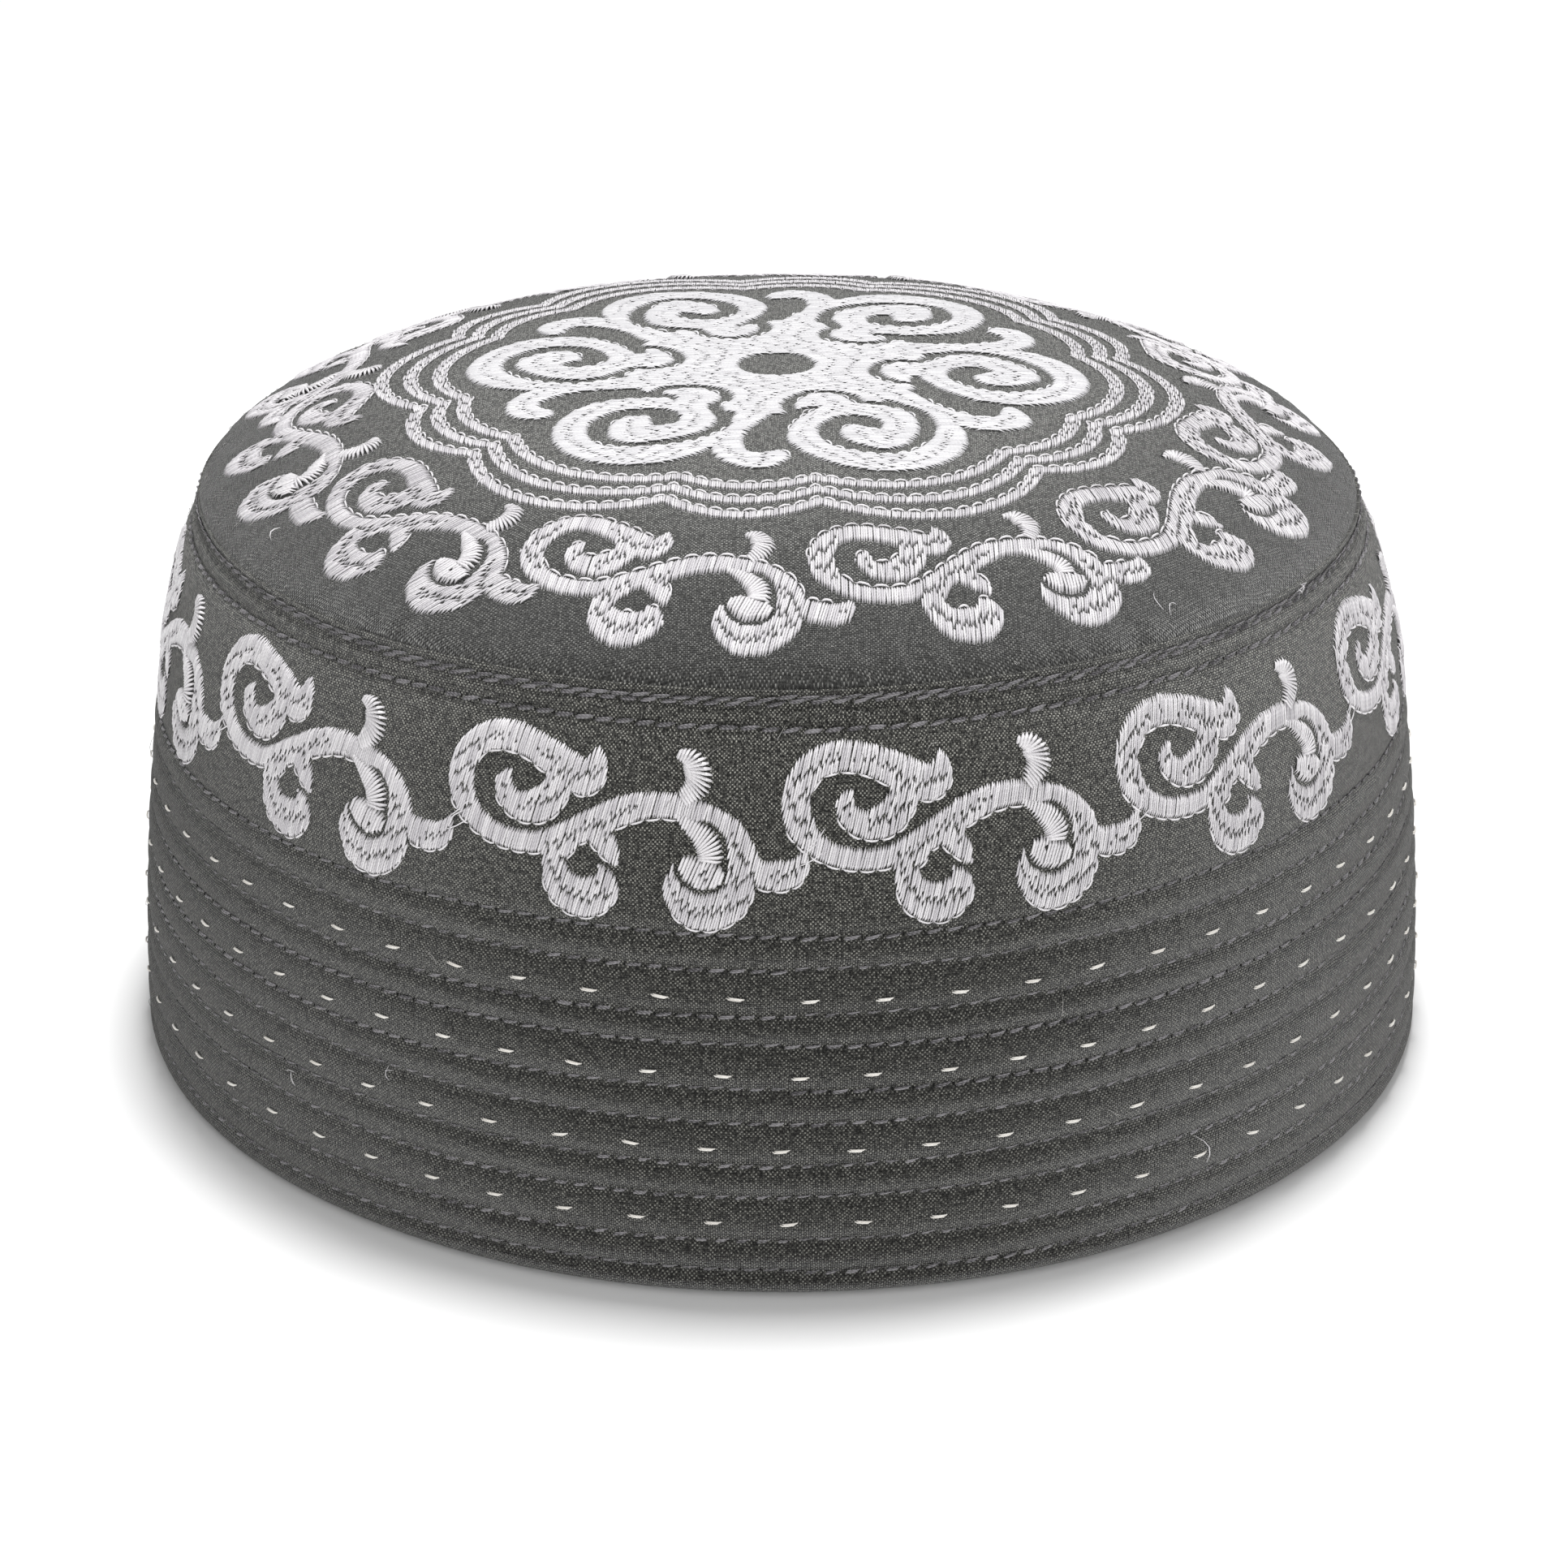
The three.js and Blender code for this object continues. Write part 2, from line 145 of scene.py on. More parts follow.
BAND_SCROLL_START = 0.0
BAND_SCROLL_DRIFT = [0.0, -0.6, -0.1, 0.2, 0.4, 0.1, -0.3, -0.2, 0.2, 0.3, 0.4, 0.9]
BAND_SCROLL_FOOT = 49.3
CROWN_SCROLLS = 11
CROWN_CRESCENT_DROP = 0.05
CROWN_SCROLL_START = -30.6
CROWN_SCROLL_SPAN = 38.4
CROWN_SCROLL_DRIFT = [0.0, 1.2, 1.8, 1.5, 1.0, 0.5, 0.0, 0.0, -0.5, -1.0, -0.6]
CROWN_FILL_LEAN = [76.0, 91.0, 110.0, 125.0, 140.0, 155.0, 170.0, 185.0, 195.0, 200.0, 205.0]
CROWN_SCROLL_FOOT = 76.9
CROWN_SCROLL_TOP = 55.6

# Rosette, one sixth: share of its radius to the side, outwards, and wide
ROSETTE_RADIUS = 42.5
ROSETTE_ARMS = 6
ROSETTE_HOLE_RADIUS = 5.2
ROSETTE_BODY = (0.0, 0.0, 1.0)
ROSETTE_LOBE = (0.311, 0.662, 0.568)
ROSETTE_ARM = [
    (-0.044, 0.407, 0.15), (-0.109, 0.605, 0.084), (-0.143, 0.74, 0.114), (-0.123, 0.837, 0.123),
    (-0.049, 0.889, 0.114), (0.01, 0.852, 0.07), (0.025, 0.802, 0.015),
]
ROSETTE_GAPS = [
    [
        (0.311, 0.605, 0.03), (0.286, 0.565, 0.084), (0.232, 0.551, 0.084), (0.18, 0.6, 0.07),
        (0.163, 0.667, 0.064), (0.193, 0.746, 0.064), (0.262, 0.793, 0.06), (0.343, 0.805, 0.044),
        (0.417, 0.753, 0.04), (0.462, 0.654, 0.048), (0.472, 0.55, 0.048), (0.44, 0.457, 0.046),
        (0.375, 0.407, 0.042), (0.306, 0.39, 0.038), (0.262, 0.378, 0.034), (0.232, 0.32, 0.034),
        (0.178, 0.291, 0.034), (0.114, 0.299, 0.034), (0.062, 0.348, 0.036), (0.037, 0.422, 0.038),
        (0.059, 0.496, 0.04),
    ],
    [
        (0.123, 0.447, 0.02), (0.089, 0.472, 0.044), (0.03, 0.546, 0.074), (-0.015, 0.625, 0.114),
        (-0.035, 0.704, 0.128), (-0.044, 0.773, 0.104), (-0.054, 0.812, 0.04),
    ],
    [
        (-0.01, 0.788, 0.035), (0.04, 0.822, 0.025), (0.069, 0.877, 0.04), (0.084, 0.93, 0.064),
    ],
]

# Scalloped lines round the rosette: lobe middle and half width in degrees, and bulges
SCALLOP_LINES = 3
SCALLOP_RADIUS = 43.3
SCALLOP_PITCH = 3.1
SCALLOP_WIDTH = 1.8
SCALLOP_LOBES = [
    (24.9, 18.5, 3.6, 1.0), (-5.1, 11.5, 2.0, 0.6),
]

# Loose threads and lint listed from the photo. On the crown each has plan x and y of both ends,
# on the band arc and height of both ends, and last its bow
CROWN_LOOSE = [
    (4.9, -41.6, 5.2, -45.2, 0.3), (5.4, -41.4, 5.3, -44.9, -0.2), (5.9, -41.8, 6.3, -44.6, 0.3),
    (4.4, -43.2, 5.0, -45.6, -0.3), (3.4, -23.4, 4.6, -19.6, 0.4), (4.0, -23.2, 5.4, -20.2, -0.3),
    (5.0, -14.4, 5.6, -12.4, 0.2), (-38.9, -39.6, -37.2, -36.9, 0.3),
    (-38.2, -39.0, -38.4, -36.6, -0.3), (-66.2, -37.5, -65.2, -35.4, 0.5),
    (48.6, -60.2, 47.6, -57.6, 0.8), (50.4, -58.6, 49.4, -60.6, -0.7),
]
BAND_LOOSE = [
    (-67.3, 17.9, -66.1, 16.2, 0.3), (-68.0, 17.6, -66.6, 17.9, 0.3), (-50.6, 24.4, -50.1, 22.6, -0.2),
    (-51.0, 23.5, -49.8, 23.9, 0.2), (53.4, 13.6, 55.2, 9.2, 0.8), (84.6, 77.4, 88.0, 78.0, 0.3),
    (86.0, 78.4, 86.9, 76.9, 0.2), (85.6, 77.9, 87.4, 77.2, -0.3), (86.4, 78.2, 87.6, 77.9, 0.2),
]
SCROLL_LINKS = [
    (0.985, 0.4, 1.045, 0.5, 0.3), (0.99, 0.44, 1.05, 0.56, -0.2), (0.97, 0.36, 1.06, 0.47, -0.3),
]

# Stitching
TONGUE_GAP = 0.5
TONGUE_TILT = 12.0
BUD_TILT_CROWN = -12.0
BUD_TILT_BAND = -15.0
RUN_BOW_CROWN = 0.17
RUN_BOW_BAND = 0.1
RUN_BOW_ROSETTE = -0.22
FILL_LEAN_BAND = 75.0
FILL_LEAN_SCALLOP = 88.0
FILL_LEAN_ROSETTE = 3.0
FILL_LEAN_TONGUE = 68.0
RUN_STITCH = 2.2
GRID_CELL = 0.1
BAND_SEGMENTS = 640
CROWN_SEGMENTS = 480
GRID_MARGIN = 5.0
DISC_MARGIN = 3.0

# Stage, in metres: place, target, size and watts of each light, then the camera
WORLD_STRENGTH = 0.45
LIGHTS = {
    "overhead_light": ((0.04, 0.2, 1.25), (0, 0, 0.05), 0.26, 13),
    "front_light": ((0.3, -1.4, 0.45), (0, 0, 0.04), 0.8, 7.5),
}
CAMERA_PLACE = (0.00022, -0.5511, 0.2749)
CAMERA_LENS = 96.15
CAMERA_DOWN = 23.9


# Curves and surfaces of the cap


def smooth_through(table, at):
    """Values at the given places of a curve that passes through the table without overshoot."""
    x, y = np.array(table, float).T
    at = np.clip(at, x[0], x[-1])
    steps = np.diff(x)
    rises = np.diff(y) / steps
    slopes = np.concatenate([rises[:1], np.zeros(len(rises) - 1), rises[-1:]])
    same = rises[:-1] * rises[1:] > 0
    total = np.where(same, rises[:-1] + rises[1:], 1)
    slopes[1:-1] = np.where(same, 2 * rises[:-1] * rises[1:] / total, 0)
    i = np.clip(np.searchsorted(x, at) - 1, 0, len(x) - 2)
    t = (at - x[i]) / steps[i]
    rise = y[i + 1] - y[i]
    start = slopes[i] * steps[i]
    end = slopes[i + 1] * steps[i]
    return y[i] + start * t + (3 * rise - 2 * start - end) * t**2 + (start + end - 2 * rise) * t**3


def soft_wave(turn, height, size):
    """Slow uneven swelling of the cloth, in millimetres, the same on every run."""
    wave = np.sin(3 * turn + 0.6 + height * 0.015) + 0.7 * np.sin(5 * turn + 2.1 - height * 0.02)
    wave = wave + 0.45 * np.sin(9 * turn + 4.2 + height * 0.05)
    return size * wave / 2


def quilt_relief(turn, height):
    """How far the quilted cloth stands out of the plain outline of the band."""
    rows = np.array([-1.5, *QUILT_ROWS, *TOP_ROWS, BAND_HEIGHT + 1.0])
    look = cap_look()
    i = np.clip(np.searchsorted(rows, height) - 1, 0, len(rows) - 2)
    room = rows[i + 1] - rows[i]
    share = np.clip((height - rows[i]) / room, 0, 1)
    puff = np.sin(np.pi * share) * np.where(room < 9, look.puff, 0.12)
    near = np.min([abs(height - row) for row in rows[1:-1]], axis=0)
    groove = look.groove * np.exp(-((near / 0.75) ** 2))
    return puff - groove - hem_inset(height)


def hem_inset(height):
    """How far the rounded hem curls in."""
    below = np.clip(HEM_RADIUS - height, 0, HEM_RADIUS * 0.998)
    return HEM_RADIUS - np.sqrt(HEM_RADIUS**2 - below**2)


def worn(spot):
    """Places on the cap moved for its slight lean and its lower right shoulder."""
    turn = np.arctan2(spot[..., 0], -spot[..., 1])
    radius = np.hypot(spot[..., 0], spot[..., 1])
    right = np.exp(-(((turn - math.radians(SHOULDER_DIRECTION)) / math.radians(45)) ** 2))
    edge = np.clip((radius - 35) / 45, 0, 1) * np.clip((spot[..., 2] - 50) / 28, 0, 1)
    spot[..., 0] -= TOP_LEAN * (spot[..., 2] / BAND_HEIGHT) ** 2
    spot[..., 2] -= SHOULDER_SAG * right * edge
    return spot


def on_band(along, height, lift):
    """Places on the band: along is the arc at the frieze, lift the height above the cloth."""
    turn = along / FRIEZE_RADIUS
    step = 0.5
    radius = smooth_through(BAND_PROFILE, height)
    above = smooth_through(BAND_PROFILE, height + step)
    below = smooth_through(BAND_PROFILE, height - step)
    lean = np.arctan((below - above) / (2 * step))
    out = lift + quilt_relief(turn, height) + soft_wave(turn, height, 0.25)
    radius = radius + out * np.cos(lean)
    up = height + out * np.sin(lean)
    return worn(np.stack([radius * np.sin(turn), -radius * np.cos(turn), np.maximum(up, 0)], -1))


def crown_surface(x, y):
    """Height of the crown cloth above a plan point."""
    radius = np.hypot(x, y)
    falloff = np.clip(1 - (radius / FULLNESS_RADIUS) ** 2, 0, 1)
    fuller = -y / FULLNESS_RADIUS * falloff * FRONT_FULLNESS
    turn = np.arctan2(x, -y)
    inwards = np.clip((SEAM_RADIUS - radius) / 12, 0, 1)
    wave = soft_wave(turn, radius, 0.3) * np.clip(radius / 40, 0, 1) * inwards
    near_seam = np.clip((radius - 66) / 12, 0, 1) ** 2
    pucker = np.sin(PUCKERS_A_TURN * turn + 2.5 * np.sin(7 * turn))
    pucker = pucker * (0.1 + 0.05 * np.sin(5 * turn + 1))
    pull = 0.22 * np.sin(9 * turn + 1.3) + 0.16 * np.sin(17 * turn + 0.4)
    return smooth_through(CROWN_PROFILE, radius) + fuller + wave + near_seam * (pucker + pull)


def on_crown(x, y, lift):
    """Places on the crown: x and y in plan, lift the height above the cloth."""
    radius = np.hypot(x, y)
    step = 0.4
    inner = smooth_through(CROWN_PROFILE, np.abs(radius - step))
    lean = np.arctan((inner - smooth_through(CROWN_PROFILE, radius + step)) / (2 * step))
    lean = np.where(radius > 2, lean, 0)
    scale = (radius + lift * np.sin(lean)) / np.maximum(radius, 1e-6)
    scale = np.where(radius > 2, scale, 1)
    return worn(np.stack([x * scale, y * scale, crown_surface(x, y) + lift * np.cos(lean)], -1))


# Drawings of the embroidery


def smooth_stroke(stations, steps=10):
    """Stations joined by a smooth curve: rows of x, y and width."""
    rows = np.array(stations, float)
    padded = np.vstack([2 * rows[0] - rows[1], rows, 2 * rows[-1] - rows[-2]])
    t = np.linspace(0, 1, steps, endpoint=False)[:, None]
    spans = []
    for i in range(len(rows) - 1):
        a, b, c, d = padded[i : i + 4]
        square = 2 * a - 5 * b + 4 * c - d
        cube = 3 * b - a - 3 * c + d
        spans.append((2 * b + (c - a) * t + square * t**2 + cube * t**3) / 2)
    spans.append(rows[-1:])
    path = np.vstack(spans)
    path[:, 2] = np.maximum(path[:, 2], 0.01)
    return path


def scroll_stroke(stations):
    """A stroke of the scroll in millimetres."""
    path = smooth_stroke(stations)
    return path * [SCROLL_LENGTH, SCROLL_HEIGHT, SCROLL_HEIGHT]


def bent_to_crown(path, start):
    """A scroll stroke laid round the crown, in plan, with its foot outwards."""
    turn = np.radians(start + path[:, 0] / SCROLL_LENGTH * CROWN_SCROLL_SPAN)
    share = path[:, 1] / SCROLL_HEIGHT
    radius = CROWN_SCROLL_FOOT + (CROWN_SCROLL_TOP - CROWN_SCROLL_FOOT) * share
    radial = (CROWN_SCROLL_FOOT - CROWN_SCROLL_TOP) / SCROLL_HEIGHT
    round_the_cap = radius * math.radians(CROWN_SCROLL_SPAN) / SCROLL_LENGTH
    wide = path[:, 2] * (radial + round_the_cap) / 2
    return np.stack([radius * np.sin(turn), -radius * np.cos(turn), wide], -1)


def tongue_gap(tongue, head):
    """The bare cloth that shows round the lower part of the tongue."""
    lower = np.vstack([tongue[int(len(tongue) * 0.45) :], head])
    lower[:, 2] += 2 * TONGUE_GAP
    return lower


def cut(grid, gaps):
    """Takes gaps out of a drawing."""
    low = grid["low"]
    ny, nx = grid["depth"].shape
    holes = drawn_grid(gaps, low, low + (np.array([nx, ny]) - 0.99) * GRID_CELL)
    grid["depth"] = np.minimum(grid["depth"], -holes["depth"])
    return grid


def turned(path, degrees):
    """A plan path turned about the middle of the crown."""
    turn = math.radians(degrees)
    x = path[:, 0] * math.cos(turn) - path[:, 1] * math.sin(turn)
    y = path[:, 0] * math.sin(turn) + path[:, 1] * math.cos(turn)
    return np.stack([x, y, path[:, 2]], -1)


def drawn_grid(paths, low, high):
    """Depth inside the strokes on a fine grid: above 0 inside, below 0 outside."""
    nx = int((high[0] - low[0]) / GRID_CELL) + 1
    ny = int((high[1] - low[1]) / GRID_CELL) + 1
    depth = np.full((ny, nx), -9.0, np.float32)
    for x, y, wide in np.vstack(paths):
        reach = wide / 2 + 0.5
        i0 = max(0, int((x - reach - low[0]) / GRID_CELL))
        i1 = min(nx, int((x + reach - low[0]) / GRID_CELL) + 2)
        j0 = max(0, int((y - reach - low[1]) / GRID_CELL))
        j1 = min(ny, int((y + reach - low[1]) / GRID_CELL) + 2)
        if i1 <= i0 or j1 <= j0:
            continue
        gx = low[0] + np.arange(i0, i1) * GRID_CELL - x
        gy = low[1] + np.arange(j0, j1) * GRID_CELL - y
        here = wide / 2 - np.hypot(gx[None, :], gy[:, None])
        depth[j0:j1, i0:i1] = np.maximum(depth[j0:j1, i0:i1], here)
    return {"depth": depth, "low": np.array(low, float)}


def disc_grid(head):
    """Depth inside the round head of a tongue."""
    return drawn_grid([head], head[:, :2].min(0) - DISC_MARGIN, head[:, :2].max(0) + DISC_MARGIN)


def depth_at(grid, x, y):
    """Depth inside the drawing at the given places."""
    depth = grid["depth"]
    gx = np.clip((x - grid["low"][0]) / GRID_CELL, 0, depth.shape[1] - 1.001)
    gy = np.clip((y - grid["low"][1]) / GRID_CELL, 0, depth.shape[0] - 1.001)
    i = gx.astype(int)
    j = gy.astype(int)
    fx = gx - i
    fy = gy - j
    lower = depth[j, i] * (1 - fx) + depth[j, i + 1] * fx
    upper = depth[j + 1, i] * (1 - fx) + depth[j + 1, i + 1] * fx
    return lower * (1 - fy) + upper * fy


# Stitches


def fill_stitches(grid, lean, rng, overlap=0.0, pitch=None):
    """Rows of parallel stitches that fill a drawing, as lines of start and end points."""
    look = cap_look()
    way = np.array([math.cos(math.radians(lean)), math.sin(math.radians(lean))])
    side = np.array([way[1], -way[0]])
    ny, nx = grid["depth"].shape
    corners = grid["low"] + np.array([(0, 0), (nx, 0), (0, ny), (nx, ny)]) * GRID_CELL
    across = corners @ side
    along = corners @ way
    step = 0.08
    columns = np.arange(across.min(), across.max(), pitch or look.thread_pitch)
    reach = np.arange(along.min(), along.max(), step)
    made = []
    for i, column in enumerate(columns):
        x = column * side[0] + reach * way[0]
        y = column * side[1] + reach * way[1]
        inside = (depth_at(grid, x, y) > 0).astype(int)
        edges = np.flatnonzero(np.diff(inside))
        for first, last in zip(edges[::2], edges[1::2]):
            low = reach[first] + rng.normal(0, 0.07) - 0.07 * (i % 2)
            high = reach[last] + rng.normal(0, 0.07) + 0.07 * (i % 2)
            length = high - low
            if length < 0.4:
                continue
            count = max(1, math.ceil(length / look.stitch_length - 0.25))
            stops = np.linspace(low, high, count + 1)
            stops[1:-1] += rng.normal(0, 0.22, count - 1) + look.stagger * ((i % 3) - 1)
            for a, b in zip(stops[:-1], stops[1:]):
                gap = rng.uniform(-0.1, 0.1) - overlap
                start = a + (gap if a > low else 0)
                drift = rng.normal(0, 0.05, 2)
                p = column * side + start * way + drift[0] * side
                q = column * side + b * way + drift[1] * side
                made.append((p, q))
    return np.array(made)


def satin_stitches(path, pitch, tilt, rng):
    """Stitches that cross a stroke from edge to edge."""
    steps = np.hypot(*np.diff(path[:, :2], axis=0).T)
    run = np.concatenate([[0], np.cumsum(steps)])
    at = np.arange(pitch / 2, run[-1], pitch)
    x, y, wide = (np.interp(at, run, path[:, k]) for k in range(3))
    dx = np.gradient(x)
    dy = np.gradient(y)
    size = np.hypot(dx, dy)
    nx = -dy / size
    ny = dx / size
    turn = math.radians(tilt)
    ax = nx * math.cos(turn) - ny * math.sin(turn)
    ay = nx * math.sin(turn) + ny * math.cos(turn)
    half = wide / 2 + rng.normal(0, 0.06, len(at))
    start = np.stack([x - ax * half, y - ay * half], -1)
    end = np.stack([x + ax * half, y + ay * half], -1)
    keep = wide > 0.5
    return np.stack([start, end], 1)[keep]


def straight_paths(ends, low_lift, high_lift, rng):
    """Four stations for each straight stitch, which dips into its needle holes."""
    a = ends[:, 0]
    b = ends[:, 1]
    shares = np.array([0.0, 0.2, 0.8, 1.0])
    flat = a[:, None] + (b - a)[:, None] * shares[None, :, None]
    length = np.hypot(*(b - a).T)
    high = high_lift * np.clip(length / 2.0, 0.45, 1) + rng.uniform(-0.03, 0.03, len(ends))
    lift = low_lift + (high - low_lift)[:, None] * np.array([0, 1, 1, 0])
    return np.concatenate([flat, lift[..., None]], -1)


def run_along(x, y):
    """Length of a line from its start to each of its points."""
    return np.concatenate([[0], np.cumsum(np.hypot(np.diff(x), np.diff(y)))])


def edge_runs(grid, path, side, facing, bow, rng):
    """Run stitches along one edge of a stroke where it is the edge of the whole drawing."""
    dx = np.gradient(path[:, 0])
    dy = np.gradient(path[:, 1])
    size = np.hypot(dx, dy)
    nx = -dy / size * side
    ny = dx / size * side
    x = path[:, 0] + nx * path[:, 2] / 2
    y = path[:, 1] + ny * path[:, 2] / 2
    open_edge = (abs(depth_at(grid, x, y)) < 0.12) & (nx * facing[0] + ny * facing[1] > 0.35)
    breaks = np.flatnonzero(np.diff(open_edge.astype(int))) + 1
    made = []
    for part in np.split(np.arange(len(x)), breaks):
        if not open_edge[part[0]] or len(part) < 4:
            continue
        run = run_along(x[part], y[part])
        count = int(round(run[-1] / RUN_STITCH))
        for k in range(count):
            at = (k + np.array([0.04, 0.25, 0.5, 0.75, 0.96])) * run[-1] / count
            out = np.array([0, 0.75, 1, 0.75, 0]) * bow * rng.uniform(0.7, 1.2) + 0.02
            px = np.interp(at, run, x[part]) + np.interp(at, run, nx[part]) * out
            py = np.interp(at, run, y[part]) + np.interp(at, run, ny[part]) * out
            lift = np.array([-0.1, 0.1, 0.14, 0.1, -0.1])
            made.append(np.stack([px, py, lift], -1))
    return made


# Meshes


def strand_pattern(rings, sides):
    """One closed strand: corner of the section for each ring, and its triangles."""
    strand = bmesh.new()
    bmesh.ops.create_circle(strand, cap_ends=True, segments=sides, radius=0.5)
    face = strand.faces[:]
    for _ in range(rings - 1):
        grown = bmesh.ops.extrude_face_region(strand, geom=face)
        new = [e for e in grown["geom"] if isinstance(e, bmesh.types.BMVert)]
        bmesh.ops.translate(strand, verts=new, vec=(0, 0, 1))
        face = [e for e in grown["geom"] if isinstance(e, bmesh.types.BMFace)]
    inner = [f for f in strand.faces if all(abs(v.co.z - f.verts[0].co.z) < 1e-5 for v in f.verts)]
    inner = [f for f in inner if 0.5 < f.verts[0].co.z < rings - 1.5]
    bmesh.ops.delete(strand, geom=inner, context="FACES_ONLY")
    bmesh.ops.recalc_face_normals(strand, faces=strand.faces[:])
    bmesh.ops.triangulate(strand, faces=strand.faces[:])
    strand.verts.index_update()
    corners = np.array([v.co[:] for v in strand.verts])
    triangles = np.array([[v.index for v in f.verts] for f in strand.faces])
    strand.free()
    return corners, triangles


def strand_mesh(name, groups, place, material):
    """Joins many strands into one piece. Each group has its paths, section and sizes."""
    points = []
    faces = []
    layouts = []
    tones = []
    count = 0
    for group in groups:
        paths = np.asarray(group["paths"], float)
        if not len(paths):
            continue
        total, rings, _ = paths.shape
        corners, triangles = strand_pattern(rings, group.get("sides", 3))
        ring = np.round(corners[:, 2]).astype(int)
        turn = math.radians(90)
        across = corners[:, 0] * math.cos(turn) - corners[:, 1] * math.sin(turn)
        above = corners[:, 0] * math.sin(turn) + corners[:, 1] * math.cos(turn)
        above = above - above.min()
        way = np.gradient(paths[..., :2], axis=1)
        way = way / np.maximum(np.hypot(way[..., 0], way[..., 1]), 1e-9)[..., None]
        wide = np.array(group["wide"])[ring] * group.get("fat", np.ones(total))[:, None]
        tall = np.array(group["tall"])[ring]
        here = paths[:, ring]
        x = here[..., 0] - way[:, ring, 1] * across * wide
        y = here[..., 1] + way[:, ring, 0] * across * wide
        spot = place(x, y, here[..., 2] + above * tall) * MM
        points.append(spot.reshape(-1, 3))
        first = np.arange(total)[:, None, None] * len(corners) + count
        faces.append((triangles[None] + first).reshape(-1, 3))
        steps = np.hypot(*np.moveaxis(np.diff(paths[..., :2], axis=1), -1, 0))
        run = np.concatenate([np.zeros((total, 1)), np.cumsum(steps, 1)], 1)
        side = np.broadcast_to(across, (total, len(ring)))
        layouts.append(np.stack([run[:, ring], side], -1).reshape(-1, 2))
        tone = group["rng"].uniform(*group.get("tone", (0, 1)), total)
        tones.append(np.repeat(tone, len(corners)))
        count += total * len(corners)
    joined = [np.vstack(points), np.vstack(faces), np.vstack(layouts), np.concatenate(tones)]
    return array_mesh(name, *joined, material)


def array_mesh(name, points, faces, layout, tone, material):
    """A piece from joined copies, with its own layout and tone."""
    mesh = bpy.data.meshes.new(name)
    mesh.vertices.add(len(points))
    mesh.vertices.foreach_set("co", points.astype(np.float32).ravel())
    mesh.loops.add(faces.size)
    mesh.loops.foreach_set("vertex_index", faces.astype(np.int32).ravel())
    mesh.polygons.add(len(faces))
    mesh.polygons.foreach_set("loop_start", np.arange(0, faces.size, 3, dtype=np.int32))
    mesh.update(calc_edges=True)
    mesh.validate()
    mesh.polygons.foreach_set("use_smooth", np.ones(len(mesh.polygons), bool))
    uv = mesh.uv_layers.new(name="layout")
    uv.data.foreach_set("uv", layout[faces.ravel()].astype(np.float32).ravel())
    shade = mesh.attributes.new("tone", "FLOAT", "POINT")
    shade.data.foreach_set("value", tone.astype(np.float32))
    mesh.materials.append(material)
    made = bpy.data.objects.new(name, mesh)
    bpy.context.collection.objects.link(made)
    return made


def spun_mesh(name, profile, segments, material):
    """A closed shell spun from a profile of radius and height, still round and plain."""
    shell = bmesh.new()
    verts = [shell.verts.new((0, -radius * MM, height * MM)) for radius, height in profile]
    edges = [shell.edges.new(pair) for pair in zip(verts, verts[1:])]
    if profile[0][0] > 0:
        edges.append(shell.edges.new((verts[-1], verts[0])))
    bmesh.ops.spin(
        shell,
        geom=verts + edges,
        cent=(0, 0, 0),
        axis=(0, 0, 1),
        angle=2 * math.pi,
        steps=segments,
        use_merge=True,
    )
    bmesh.ops.remove_doubles(shell, verts=shell.verts[:], dist=1e-6)
    bmesh.ops.recalc_face_normals(shell, faces=shell.faces[:])
    mesh = bpy.data.meshes.new(name)
    shell.to_mesh(mesh)
    shell.free()
    for face in mesh.polygons:
        face.use_smooth = True
    mesh.materials.append(material)
    made = bpy.data.objects.new(name, mesh)
    bpy.context.collection.objects.link(made)
    return made


def mesh_points(mesh):
    """The points of a mesh in millimetres."""
    co = np.zeros(len(mesh.vertices) * 3, np.float32)
    mesh.vertices.foreach_get("co", co)
    return co.reshape(-1, 3).astype(float) / MM


def set_mesh_points(mesh, points):
    """Moves the points of a mesh to places in millimetres."""
    mesh.vertices.foreach_set("co", (points * MM).astype(np.float32).ravel())
    mesh.update()


def cloth_layout(mesh, layout, period):
    """A layout in millimetres of cloth. A face across the seam keeps one side of it."""
    corner = np.zeros(len(mesh.loops), np.int32)
    mesh.loops.foreach_get("vertex_index", corner)
    start = np.zeros(len(mesh.polygons), np.int32)
    mesh.polygons.foreach_get("loop_start", start)
    total = np.zeros(len(mesh.polygons), np.int32)
    mesh.polygons.foreach_get("loop_total", total)
    uv = layout[corner].copy()
    if period:
        face = np.repeat(np.arange(len(start)), total)
        highest = np.maximum.reduceat(uv[:, 0], start)[face]
        uv[:, 0] += np.where(highest - uv[:, 0] > period / 2, period, 0)
    layer = mesh.uv_layers.new(name="layout")
    layer.data.foreach_set("uv", uv.astype(np.float32).ravel())


# Materials


def wire(tree, value, socket):
    """Links a socket, or sets a plain value."""
    if isinstance(value, bpy.types.NodeSocket):
        tree.links.new(value, socket)
    else:
        socket.default_value = value


def calc(tree, operation, *values):
    """One Math node."""
    made = tree.nodes.new("ShaderNodeMath")
    made.operation = operation
    for i, value in enumerate(values):
        wire(tree, value, made.inputs[i])
    return made.outputs[0]


def noise(tree, vector, scale, detail=2.0):
    """One Noise Texture's value."""
    made = tree.nodes.new("ShaderNodeTexNoise")
    tree.links.new(vector, made.inputs["Vector"])
    made.inputs["Scale"].default_value = scale
    made.inputs["Detail"].default_value = detail
    return made.outputs["Fac"]


def scaled(tree, vector, scale):
    """A vector stretched by a Mapping node."""
    made = tree.nodes.new("ShaderNodeMapping")
    tree.links.new(vector, made.inputs["Vector"])
    made.inputs["Scale"].default_value = scale
    return made.outputs[0]


